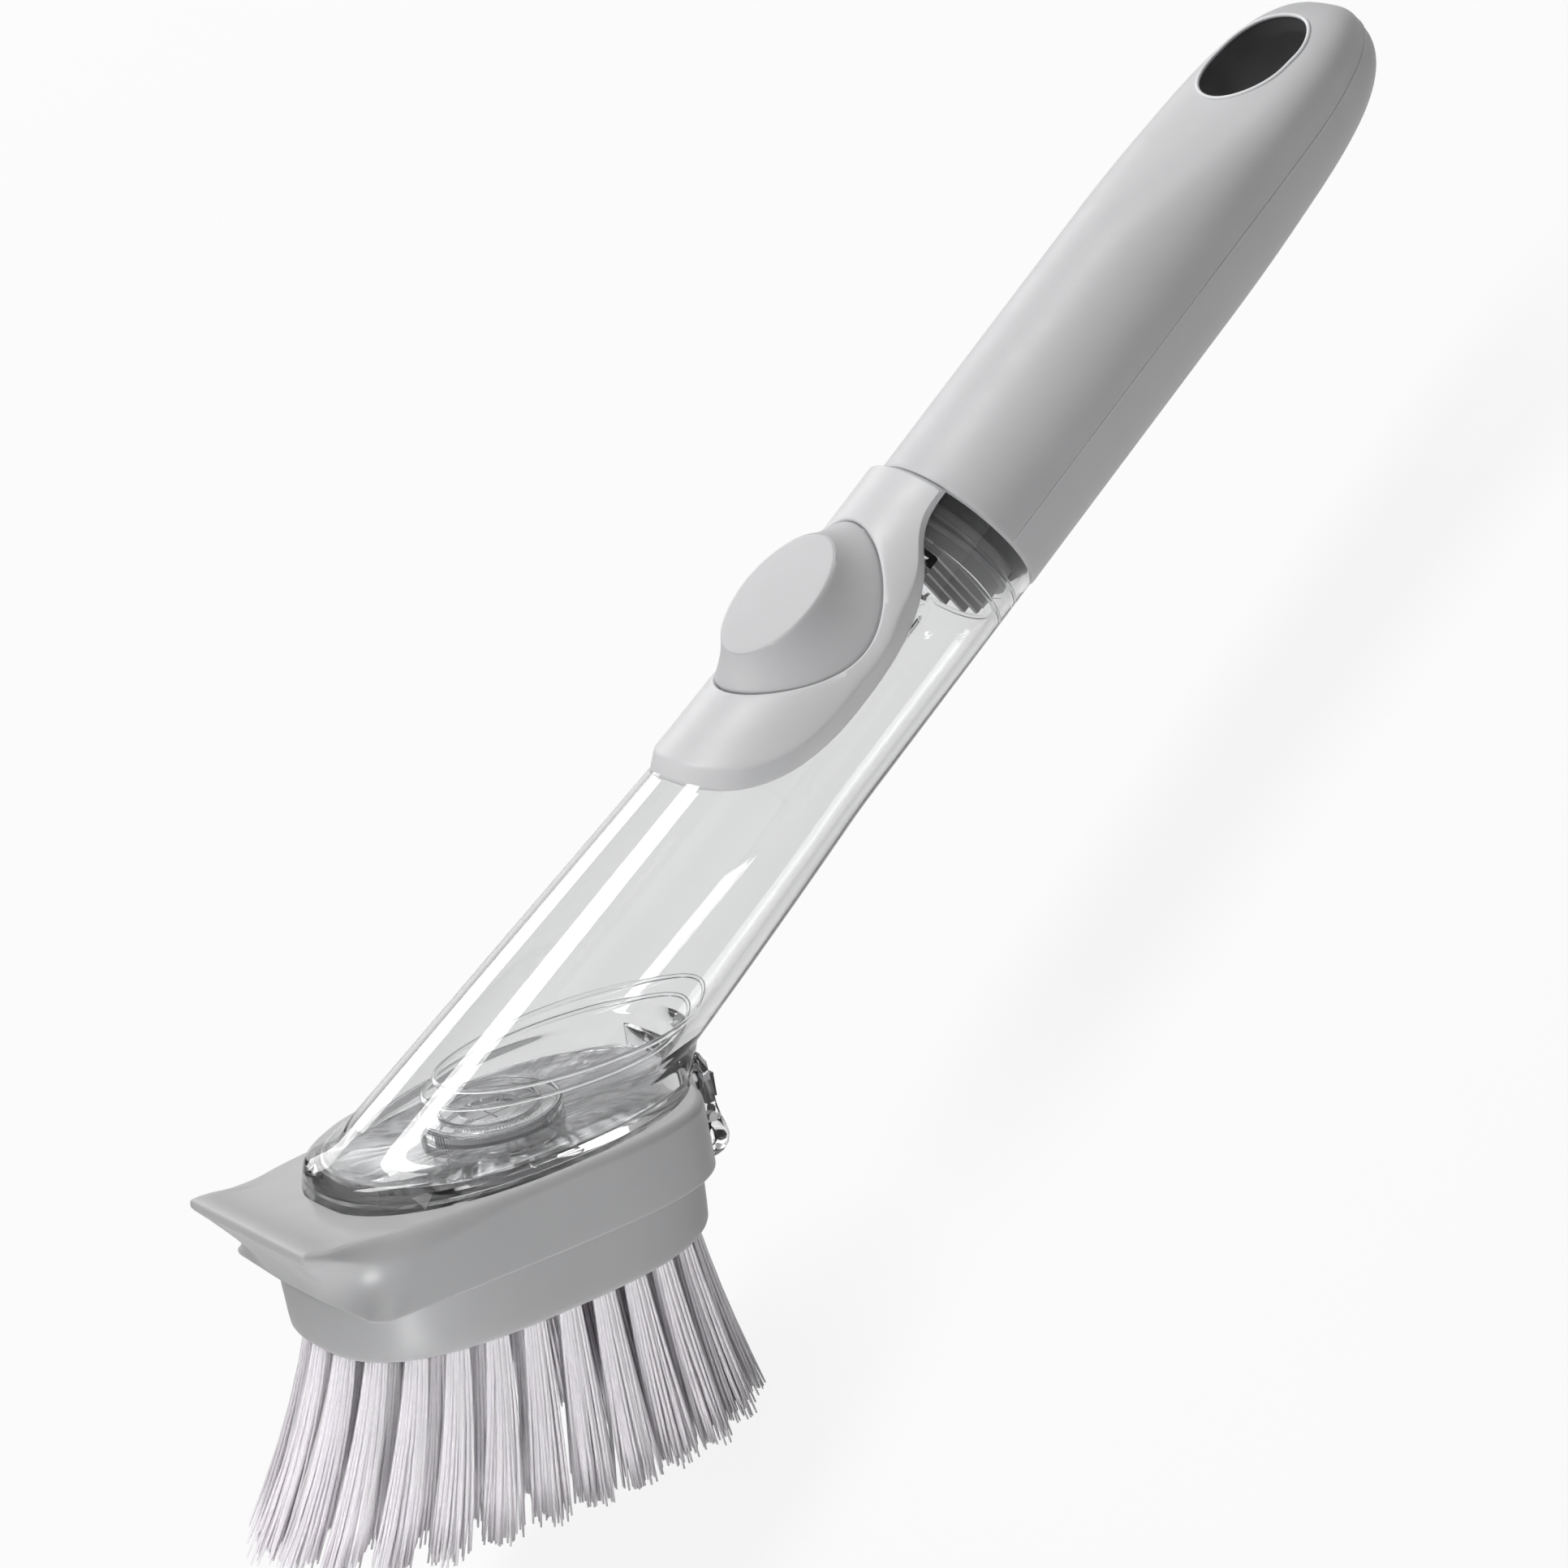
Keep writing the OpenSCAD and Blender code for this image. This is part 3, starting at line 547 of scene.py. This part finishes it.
# clear tongue behind the head, with a swelling at its lower end and a window for the latch:
# height, outer face and half width of each ring
a = np.linspace(0, TURN, 64, endpoint=False)
rings = []
for z, x, half in (
    (6.6, 35.6, 7.4), (6.7, 36.6, 7.9), (7.3, 37.7, 8.4), (8.4, 38.6, 8.8), (9.8, 38.9, 9.0),
    (11.2, 38.6, 9.0), (12.8, 37.9, 9.0), (15.0, 37.3, 9.0), (19.0, 36.8, 9.2), (22.5, 36.2, 9.6),
    (24.2, 35.0, 9.6),
):
    depth = (x - TONGUE_X) / 2
    across = half * spow(np.sin(a), 2 / TONGUE_N)
    rings.append(head(TONGUE_X + depth + depth * spow(np.cos(a), 2 / TONGUE_N), across, np.full(64, z)))
tongue = piece("rear_tongue", *loft(rings, True, True), "tube", "clear_plastic", (), CLEAR_FINE)
window = head_box(
    "window_cutter", 30.0, 45.0, -LATCH_HALF, LATCH_HALF, WINDOW_Z0, WINDOW_Z1, 0.4, None, None, None)
apply_boolean(tongue, [window])
tongue.data.shade_smooth()
tongue.data.set_sharp_from_angle(angle=math.radians(40))

# clear plate that closes the foot, with the raised seat of the outlet
t = np.linspace(0, TURN, 96, endpoint=False)
rings = []
for f, z in ((0.1, 0.02), (0.9, 0.02), (1.0, 0.3), (1.0, PLATE_T - 0.2), (0.97, PLATE_T), (0.6, PLATE_T)):
    x = FOOT_SHIFT + (FOOT_A - 2.6) * f * spow(np.cos(t), 2 / FOOT_N)
    rings.append(head(x, (FOOT_B - 2.2) * f * spow(np.sin(t), 2 / FOOT_N), np.full(96, HEAD_H + z)))
for r, z in (
    (SEAT_R, PLATE_T), (SEAT_R, SEAT_TOP - 0.3), (SEAT_R - 0.3, SEAT_TOP),
    (SEAT_BORE + 0.3, SEAT_TOP), (SEAT_BORE, SEAT_TOP - 0.3), (SEAT_BORE, PLATE_T),
):
    rings.append(head(OUTLET_SHIFT + r * np.cos(t), r * np.sin(t), np.full(96, HEAD_H + z)))
piece("foot_closure", *loft(rings, True, True), "tube", "clear_plastic", ["foot_plate"], CLEAR_FINE, sharp=35)

# weld lines where the tube meets the foot
q = np.linspace(0, TURN, 160, endpoint=False)
for name, hz, r in (("weld_ring", 30.5, 13.1), ("weld_ring_low", 28.6, 12.9)):
    z = r * np.cos(q)
    x = (hz - (z - HEAD_O[2]) * math.cos(TILT)) / math.sin(TILT) + HEAD_O[0]
    skin = sweep(np.stack([x, r * np.sin(q), z], 1), 0.4, 8, closed=True)
    piece(name, *skin, "tube", "clear_plastic", (), CLEAR_FINE)

# beads on the seat of the outlet
for name, r, z, bead in (
    ("outlet_rim", 10.6, SEAT_TOP, 0.45), ("outlet_inner_rim", 7.6, SEAT_TOP + 0.1, 0.35),
):
    path = head(OUTLET_SHIFT + r * np.cos(t), r * np.sin(t), np.full(96, HEAD_H + z))
    piece(name, *sweep(path, bead, 10, closed=True), "tube", "clear_plastic", (), CLEAR_FINE)

# thread ridges inside the neck, fading out at both ends
for k, x in enumerate((-91.2, -95.2)):
    a = np.linspace(0, TURN * 0.8, 80) + k * 2.2
    path = np.stack([x - 1.6 * a / 6.28, NECK_BORE * np.cos(a), NECK_BORE * np.sin(a)], 1)
    fade = np.minimum(1, np.minimum(np.arange(80), np.arange(80)[::-1]) / 14.0 + 0.05)
    piece(f"neck_thread_{k}", *sweep(path, 0.4 * fade, 8), "tube", "clear_plastic", (), CLEAR_FINE)

# gasket, set back inside the neck's end
rings = []
for x, r in ((-1.75, 11.35), (-1.75, 11.9), (-1.0, 12.3), (-0.3, 12.35), (-0.1, 12.2), (-0.1, 11.35)):
    rings.append(np.stack([np.full(96, SEAM_X + x), r * np.cos(t), r * np.sin(t)], 1))
piece("gasket_ring", *loft(rings, loop=True), "seal", "gasket", ["plug_gasket"], BLACK, sharp=40)


# ---------------------------------------------------------------- button panel and button
def on_tube(x, v, r):
    """Row-frame point at x, arc v (mm at the button's radius, measured from the top) and radius r."""
    a = v / BUTTON_R
    return np.stack([x, r * np.sin(a), r * np.cos(a)], -1)


def panel_field(p):
    """Rough distance to the panel's outline: an oval lobe round the button and a neck to the seam."""
    lobe = outline(p[:, 0], p[:, 1], SEAM_X - 33.0, 27.8, 20.8, 2.35)
    neck = np.maximum(np.abs(p[:, 1]) - 10.4, SEAM_X - 30.0 - p[:, 0])
    f = smin(lobe, neck, 4.0)
    return smax(f, p[:, 0] - (SEAM_X - PANEL_GAP), 0.3)


# the button's half length and half width, at its base and at its flat top, and the top's height
A0, B0, A1, B1, TOP = 16.25, 13.05, 11.6, 9.2, 18.9
N = 192
t = np.linspace(0, TURN, N, endpoint=False)
dirs = np.stack([np.cos(t), np.sin(t)], 1)
edge_loop = cast(panel_field, np.array([BUTTON_X, 0.0]), dirs, 60.0)
R_PANEL = TUBE_R + PANEL_T


def button_loop(a, b):
    y = b * np.sin(t)
    return np.stack([BUTTON_X + a * np.cos(t), BUTTON_R * np.arcsin(np.clip(y / BUTTON_R, -1, 1))], 1)


hole_loop = button_loop(A0 + 0.3, B0 + 0.3)
span = np.linalg.norm(edge_loop - hole_loop, axis=1)[:, None]
inward = (hole_loop - edge_loop) / span
lobe = ease((SEAM_X - 8.0 - edge_loop[:, :1]) / 14.0)
wall = np.minimum(0.8 + 2.1 * lobe, span * 0.5)
fold_r = R_PANEL + 0.45 * lobe[:, 0]
foot_r = TUBE_R + 0.05
rings = []
# side wall up to the fold, as shares of its width and height
for e, r in (
    (0, 0), (0, 0.22), (0.06, 0.34), (0.5, 0.66), (0.88, 0.93), (0.96, 0.985), (1.08, 1.0), (1.2, 1.0),
):
    q = edge_loop + inward * np.minimum(wall * e, span * 0.7)
    rings.append(on_tube(q[:, 0], q[:, 1], foot_r + (fold_r - foot_r) * r))
for f in (0.6, 0.4, 0.2):
    q = hole_loop - inward * (span - 1.2 * wall) * f
    rings.append(on_tube(q[:, 0], q[:, 1], R_PANEL + (fold_r - R_PANEL) * f))
# rounded edge of the button's hole
for e, drop in ((0.5, 0.0), (0.2, 0.06), (0.04, 0.2), (0.0, 0.45), (0.0, R_PANEL - foot_r)):
    q = hole_loop - inward * np.minimum(e, span * 0.2)
    rings.append(on_tube(q[:, 0], q[:, 1], R_PANEL - drop))
piece("panel", *loft(rings), "tube", "grey_plastic", ["button_panel"], PALE, sharp=50)


def button_ring(a, b, z):
    return np.stack([BUTTON_X + a * np.cos(t), b * np.sin(t), z], 1)


base_z = np.sqrt(BUTTON_R ** 2 - (13.0 * np.sin(t)) ** 2)
rings = []
for inset, rise in ((0.0, -1.2), (0.0, -0.15), (0.1, 0.02)):
    rings.append(button_ring(A0 - inset, B0 - inset, base_z + rise))
for f in np.linspace(0.06, 0.965, 14):
    g = f + 0.1 * math.sin(math.pi * f)
    rings.append(button_ring(A0 + (A1 - A0) * g, B0 + (B1 - B0) * g, base_z + (TOP - base_z) * f))
for inset, drop in ((0.02, 0.2), (0.1, 0.08), (0.25, 0.02), (0.5, 0.0), (1.2, 0.0)):
    rings.append(button_ring(A1 - inset, B1 - inset, np.full(N, TOP - drop)))
for f in (0.8, 0.5, 0.2):
    rings.append(button_ring(A1 * f, B1 * f, np.full(N, TOP)))
piece("button", *loft(rings, end=True), "button", "grey_plastic", ["button_cap"], BUTTON, sharp=60)


# ---------------------------------------------------------------- head cover with scraper
M = 288
t = np.linspace(0, TURN, M, endpoint=False)
c, s_ = np.cos(t), np.sin(t)


def polar(a, b, n):
    """Rounded oval sampled evenly by angle."""
    r = ((np.abs(c) / a) ** n + (np.abs(s_) / b) ** n) ** (-1 / n)
    return r * c, r * s_


LIP_SHARE = 0.9
QUARTER = M // 4


def rounded(corners, rounding, shares):
    """Points along a polyline with rounded corners; shares: how many on each straight and corner."""
    corners = [np.asarray(v, float) for v in corners]
    stops = [corners[0]]
    for before, at, after, size in zip(corners, corners[1:], corners[2:], rounding):
        stops.append(at + (before - at) / np.linalg.norm(before - at) * size)
        stops.append(at)
        stops.append(at + (after - at) / np.linalg.norm(after - at) * size)
    stops.append(corners[-1])
    out, k = [], 0
    for n, count in enumerate(shares):
        for w in np.linspace(0, 1, count + 1)[1:]:
            if n % 2 == 0:
                out.append(stops[k] * (1 - w) + stops[k + 1] * w)
            else:
                out.append(stops[k] * (1 - w) ** 2 + 2 * stops[k + 1] * w * (1 - w) + stops[k + 2] * w * w)
        k += 1 if n % 2 == 0 else 2
    return out


def cover_loop(share):
    """Outline of the cover; share is the height above its lower edge, 0 to 1, for each point."""
    share = np.broadcast_to(share, (M,))
    x, y = polar(np.full(M, HEAD_A), HEAD_B - 0.6 * share, 3.6)
    x, y = x.copy(), y.copy()
    made = {}
    sides = (1, range(QUARTER + 1, 2 * QUARTER + 1)), (-1, range(3 * QUARTER - 1, 2 * QUARTER, -1))
    for side, ks in sides:
        for step, k in enumerate(ks):
            h = round(min(1.0, max(0.0, share[k] / LIP_SHARE)), 5)
            if h not in made:
                reach = HEAD_A + 0.3 + (SCRAPER - 0.7 - HEAD_A) * h ** 1.45
                shoulder, lip_end = (-32.8 + 4.6 * h, 21.4 - 0.2 * h), (-reach, 6.0 + 10.6 * h)
                corners = [(0, HEAD_B - 0.6 * h), shoulder, lip_end, (-reach, 0)]
                made[h] = rounded(corners, [3.2 + 7.6 * h, 0.9], [22, 24, 10, 8, 8])
            px, py = made[h][step]
            x[k], y[k] = px, side * py
    return x, y


def lift(x):
    """Rise of the cover's top towards the scraper edge."""
    return SCRAPER_RISE * np.clip((-x - HEAD_A + 8) / (SCRAPER - HEAD_A + 8), 0, 1) ** 2


def normals(x, y):
    """Inward directions square to a loop."""
    tx, ty = np.roll(x, -1) - np.roll(x, 1), np.roll(y, -1) - np.roll(y, 1)
    size = np.hypot(tx, ty)
    return -ty / size, tx / size


tall = HEAD_H - BLOCK_H
x, y = cover_loop(1.0)
corner = ease((-x - 2.0) / 22.0) * (1 - ease((-x - 25.0) / 14.5))
radius = 1.5 + 2.2 * corner - 0.95 * ease((-x - 33.0) / 6.0)
x0, y0 = cover_loop(0.0)
nx, ny = normals(x0, y0)
rings = []
for inset, z in ((1.8, 0.0), (0.5, 0.0), (0.2, 0.06), (0.03, 0.24), (0.0, 0.5)):
    rings.append(head(x0 + nx * inset, y0 + ny * inset, np.full(M, BLOCK_H + z)))
under = tall + lift(x) - radius
for k in np.linspace(0.06, 1.0, 22):
    z = 0.5 + (under - 0.5) * k
    xx, yy = cover_loop(z / (tall + lift(x)))
    rings.append(head(xx, yy, BLOCK_H + z))
nx, ny = normals(xx, yy)
for _ in range(6):
    nx, ny = ((np.roll(v, 1) + v + np.roll(v, -1)) / 3 for v in (nx, ny))
radius_in = np.minimum(radius, 4.6)
for k in np.linspace(0.1, 1.0, 10) * math.pi / 2:
    e = radius_in * (1 - math.cos(k))
    rings.append(head(xx + nx * e, yy + ny * e, BLOCK_H + under + radius * math.sin(k)))
xe, ye = xx + nx * radius_in, yy + ny * radius_in
edge_z = under + radius
for f in (0.985, 0.96, 0.93, 0.89, 0.84, 0.78, 0.7, 0.6, 0.45, 0.25):
    k = ease((1 - f) / 0.12)
    rings.append(head(xe * f, ye * f, BLOCK_H + edge_z * (1 - k) + (tall + lift(xe * f)) * k))
piece("cover", *loft(rings, end=True), "head", "grey_plastic", ["head_cover"], COVER, sharp=42)


# ---------------------------------------------------------------- bristle block
def block_ring(a, b, n, z):
    x, y = polar(a, b, n)
    return head(x, y, np.full(M, z))


DEEP, BLOCK_N = 1.6, 2.7
rings = [
    block_ring(30.0, 19.0, 2.8, BLOCK_H + 0.6), block_ring(33.0, 21.5, BLOCK_N, BLOCK_H + 0.3),
    block_ring(33.2, 21.6, BLOCK_N, BLOCK_H - 0.2),
]
for z in (7.5, 6.0, 4.5, 3.0, 1.6):
    k = (BLOCK_H - z) / BLOCK_H
    rings.append(block_ring(33.2 - 0.3 * k, 21.6 - 0.5 * k, BLOCK_N, z))
for k in np.linspace(0, 1, 7)[1:] * math.pi / 2:
    e = 2.2 * (1 - math.cos(k))
    rings.append(block_ring(32.9 - e, 21.2 - e, BLOCK_N, 0.6 - 2.2 * math.sin(k)))
for f in (0.8, 0.5, 0.2):
    rings.append(block_ring(30.7 * f, 19.0 * f, BLOCK_N, -DEEP))
piece("block", *loft(rings, True, True), "head", "grey_plastic", ["bristle_block"], BLOCK, sharp=60)


# ---------------------------------------------------------------- bristles
RING_TUFTS = (26, 16, 4)
RING_INSET, RING_STEP, INNER_STEP = 3.6, 6.9, 6.0
BRISTLE_LEN, TUFT_R, FAN, SIDE_FAN, FRONT_LEAN = 31.0, 1.75, 17.0, 7.0, 0.1
# the front tufts fan out more than the rear ones, and the tips end in one plane
FRONT_FAN, TIP_END = 1.55, -BRISTLE_LEN - DEEP - 0.3
GOLDEN_ANGLE = 2.399963


def tuft_spots(ring):
    """Places of one ring's tufts on the block, evenly spaced along an oval, or along the middle line."""
    if ring == 2:
        out = []
        for i in range(RING_TUFTS[2]):
            side, k = (-1 if i % 2 == 0 else 1), i // 2 + 1
            out.append((OUTLET_SHIFT * (side + 1) / 2 + side * INNER_STEP * (k + 0.25), 0.0))
        return out
    a, b = HEAD_A - RING_INSET - RING_STEP * ring, HEAD_B - RING_INSET - RING_STEP * ring
    q = np.linspace(0, TURN, 721)
    px, py = a * spow(np.cos(q), 0.85), b * spow(np.sin(q), 0.85)
    run = np.concatenate([[0], np.cumsum(np.hypot(np.diff(px), np.diff(py)))])
    at = (np.arange(RING_TUFTS[ring]) + 0.5) / RING_TUFTS[ring] * run[-1]
    return list(zip(np.interp(at, run, px).tolist(), np.interp(at, run, py).tolist()))


def bristle_mesh(spots, seed, per_tuft=56):
    """Points and faces of all the fibres of some tufts."""
    rng = random.Random(seed)
    points, faces = [], []
    sides, levels = 4, 6
    for sx, sy in spots:
        wider = 1 + (FRONT_FAN - 1) * max(0.0, -sx / HEAD_A)
        lean_x = math.tan(math.radians(FAN)) * sx / HEAD_A * wider - FRONT_LEAN
        lean_y = math.tan(math.radians(SIDE_FAN)) * sy / HEAD_B
        tuft_len = BRISTLE_LEN * (1 - 0.02 * rng.random())
        for m in range(per_tuft):
            rr = TUFT_R * 0.93 * math.sqrt((m + 0.5) / per_tuft)
            q = m * GOLDEN_ANGLE
            ox, oy = rr * math.cos(q), rr * math.sin(q)
            length = tuft_len * (1 - 0.075 * rng.random() ** 1.6)
            spread = 0.85 + 0.25 * rng.random()
            bend_x, bend_y = rng.gauss(0, 0.35), rng.gauss(0, 0.35)
            radius = 0.25 + 0.05 * rng.random()
            base = len(points)
            for k in range(levels):
                f = k / (levels - 1)
                along = f * length
                lean = along * (0.65 + 0.35 * f)
                wide = 1 + spread * f
                cx = sx + ox * wide + lean_x * lean + bend_x * f * f
                cy = sy + oy * wide + lean_y * lean + bend_y * f * f
                r = radius * (1.0 if k < levels - 1 else 0.55)
                z = 0.6 - DEEP - along if k else 0.6 - DEEP
                for j in range(sides):
                    w = TURN * (j + 0.5) / sides
                    points.append((cx + r * math.cos(w), cy + r * math.sin(w), max(z, TIP_END)))
            for k in range(levels - 1):
                for j in range(sides):
                    a, b = base + k * sides + j, base + k * sides + (j + 1) % sides
                    faces.append((a, a + sides, b + sides, b))
            last = base + (levels - 1) * sides
            faces.append(tuple(last + j for j in range(sides)))
    p = np.array(points)
    return head(p[:, 0], p[:, 1], p[:, 2]), faces


for ring, name in enumerate(("outer", "middle", "inner")):
    points, faces = bristle_mesh(tuft_spots(ring), 11 + ring)
    piece(f"fibres_{name}", points, faces, "head", "bristle", [f"bristles_{name}"], NYLON, outward=False)


# ---------------------------------------------------------------- stage, light and camera
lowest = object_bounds()[0][2] - 0.0002
floor_points = [(3000 * i, 3000 * j, lowest / MM) for i, j in ((-1, -1), (1, -1), (1, 1), (-1, 1))]
floor = piece("floor", floor_points, [(0, 1, 2, 3)], None, None, (), None)
mat, nt, bsdf, co = new_material("floor_pale")
nt.links.new(tint(nt, noise(nt, co, 3.0), (0.68, 0.68, 0.68), (0.7, 0.7, 0.7)), bsdf.inputs["Base Color"])
bsdf.inputs["Roughness"].default_value = 0.9
glow = nt.nodes.new("ShaderNodeEmission")
glow.inputs["Color"].default_value = (1, 1, 1, 1)
glow.inputs["Strength"].default_value = 1.0
path = nt.nodes.new("ShaderNodeLightPath")
seen = nt.nodes.new("ShaderNodeMath")
seen.operation = "MAXIMUM"
nt.links.new(path.outputs["Is Camera Ray"], seen.inputs[0])
nt.links.new(path.outputs["Is Transmission Ray"], seen.inputs[1])
place = nt.nodes.new("ShaderNodeSeparateXYZ")
nt.links.new(co, place.inputs["Vector"])
band = remap(nt, place.outputs["Y"], 0.3, 1.0, -0.06, 0.04)
band_far = remap(nt, place.outputs["Y"], 1.0, 0.4, 0.3, 0.8)
graded = nt.nodes.new("ShaderNodeMath")
graded.operation = "MULTIPLY"
nt.links.new(band, graded.inputs[0])
nt.links.new(band_far, graded.inputs[1])
strength = nt.nodes.new("ShaderNodeMath")
strength.operation = "MAXIMUM"
nt.links.new(graded.outputs[0], strength.inputs[0])
nt.links.new(path.outputs["Is Camera Ray"], strength.inputs[1])
nt.links.new(strength.outputs[0], glow.inputs["Strength"])
mostly = nt.nodes.new("ShaderNodeMath")
mostly.operation = "MULTIPLY"
mostly.inputs[1].default_value = 0.88
nt.links.new(seen.outputs[0], mostly.inputs[0])
mix = nt.nodes.new("ShaderNodeMixShader")
nt.links.new(mostly.outputs[0], mix.inputs["Fac"])
nt.links.new(bsdf.outputs["BSDF"], mix.inputs[1])
nt.links.new(glow.outputs["Emission"], mix.inputs[2])
nt.links.new(mix.outputs["Shader"], nt.nodes["Material Output"].inputs["Surface"])
floor.data.materials.append(mat)

world = bpy.data.worlds.new("studio")
scene.world = world
world.use_nodes = True
nt = world.node_tree
nt.nodes.clear()
out = nt.nodes.new("ShaderNodeOutputWorld")
path = nt.nodes.new("ShaderNodeLightPath")
ambient = nt.nodes.new("ShaderNodeBackground")
ambient.inputs["Strength"].default_value = 1.0
co = nt.nodes.new("ShaderNodeTexCoord")
lean = nt.nodes.new("ShaderNodeVectorMath")
lean.operation = "DOT_PRODUCT"
lean.inputs[1].default_value = (-0.4, 0.25, 0.88)
nt.links.new(co.outputs["Generated"], lean.inputs[0])
fade = nt.nodes.new("ShaderNodeMapRange")
fade.inputs["From Min"].default_value = -1.0
fade.inputs["From Max"].default_value = 1.0
fade.inputs["To Min"].default_value = 0.04
fade.inputs["To Max"].default_value = 0.38
nt.links.new(lean.outputs["Value"], fade.inputs["Value"])
nt.links.new(fade.outputs["Result"], ambient.inputs["Strength"])
white = nt.nodes.new("ShaderNodeBackground")
white.inputs["Color"].default_value = (1, 1, 1, 1)
height = nt.nodes.new("ShaderNodeSeparateXYZ")
nt.links.new(co.outputs["Generated"], height.inputs["Vector"])
dusk = nt.nodes.new("ShaderNodeMapRange")
dusk.inputs["From Min"].default_value = 0.05
dusk.inputs["From Max"].default_value = 0.6
dusk.inputs["To Min"].default_value = 0.95
dusk.inputs["To Max"].default_value = 0.25
nt.links.new(height.outputs["Z"], dusk.inputs["Value"])
strength = nt.nodes.new("ShaderNodeMath")
strength.operation = "MAXIMUM"
nt.links.new(dusk.outputs["Result"], strength.inputs[0])
nt.links.new(path.outputs["Is Camera Ray"], strength.inputs[1])
nt.links.new(strength.outputs[0], white.inputs["Strength"])
seen = nt.nodes.new("ShaderNodeMath")
seen.operation = "MAXIMUM"
nt.links.new(path.outputs["Is Camera Ray"], seen.inputs[0])
nt.links.new(path.outputs["Is Transmission Ray"], seen.inputs[1])
mix = nt.nodes.new("ShaderNodeMixShader")
nt.links.new(seen.outputs[0], mix.inputs["Fac"])
nt.links.new(ambient.outputs["Background"], mix.inputs[1])
nt.links.new(white.outputs["Background"], mix.inputs[2])
nt.links.new(mix.outputs["Shader"], out.inputs["Surface"])


def area(name, location, target, long_side, short_side, power, along=(1, 0, 0), spread=180.0):
    """A rectangular soft light whose long side runs along a direction."""
    light = bpy.data.lights.new(name, "AREA")
    light.energy = power
    light.shape = "RECTANGLE"
    light.size = long_side
    light.size_y = short_side
    light.spread = math.radians(spread)
    z = (Vector(location) - Vector(target)).normalized()
    x = (Vector(along) - Vector(along).dot(z) * z).normalized()
    y = z.cross(x)
    obj = bpy.data.objects.new(name, light)
    obj.matrix_world = Matrix.Translation(location) @ Matrix((x, y, z)).transposed().to_4x4()
    scene.collection.objects.link(obj)
    return obj


MIDDLE = (-0.13, 0.0, -0.01)
area("key", (-0.06, 0.13, 0.7), MIDDLE, 0.6, 0.2, 4.4)
area("front_fill", (-0.75, -0.55, 0.03), (-0.22, 0, -0.03), 0.35, 0.35, 1.1, (0, 1, 0))
area("head_fill", (-0.47, -0.2, -0.09), (-0.25, 0, -0.045), 0.14, 0.14, 0.18, (0, 1, 0), 54.0)
area("rear_rim", (0.1, 0.7, 0.2), MIDDLE, 0.5, 0.25, 1.2)

camera_data = bpy.data.cameras.new("camera")
camera_data.lens = 151.65
camera_data.sensor_width = 36.0
camera_data.clip_start = 0.01
camera = bpy.data.objects.new("camera", camera_data)
right, up = Vector((0.587, -0.56492, -0.57992)), Vector((0.7801, 0.20311, 0.59177))
back = Vector((-0.21652, -0.79976, 0.55991))
turn = Matrix((right, up, back)).transposed().to_4x4()
camera.matrix_world = Matrix.Translation((-0.35297, -0.80135, 0.55786)) @ turn
scene.collection.objects.link(camera)
scene.camera = camera

scene.view_settings.view_transform = "Standard"
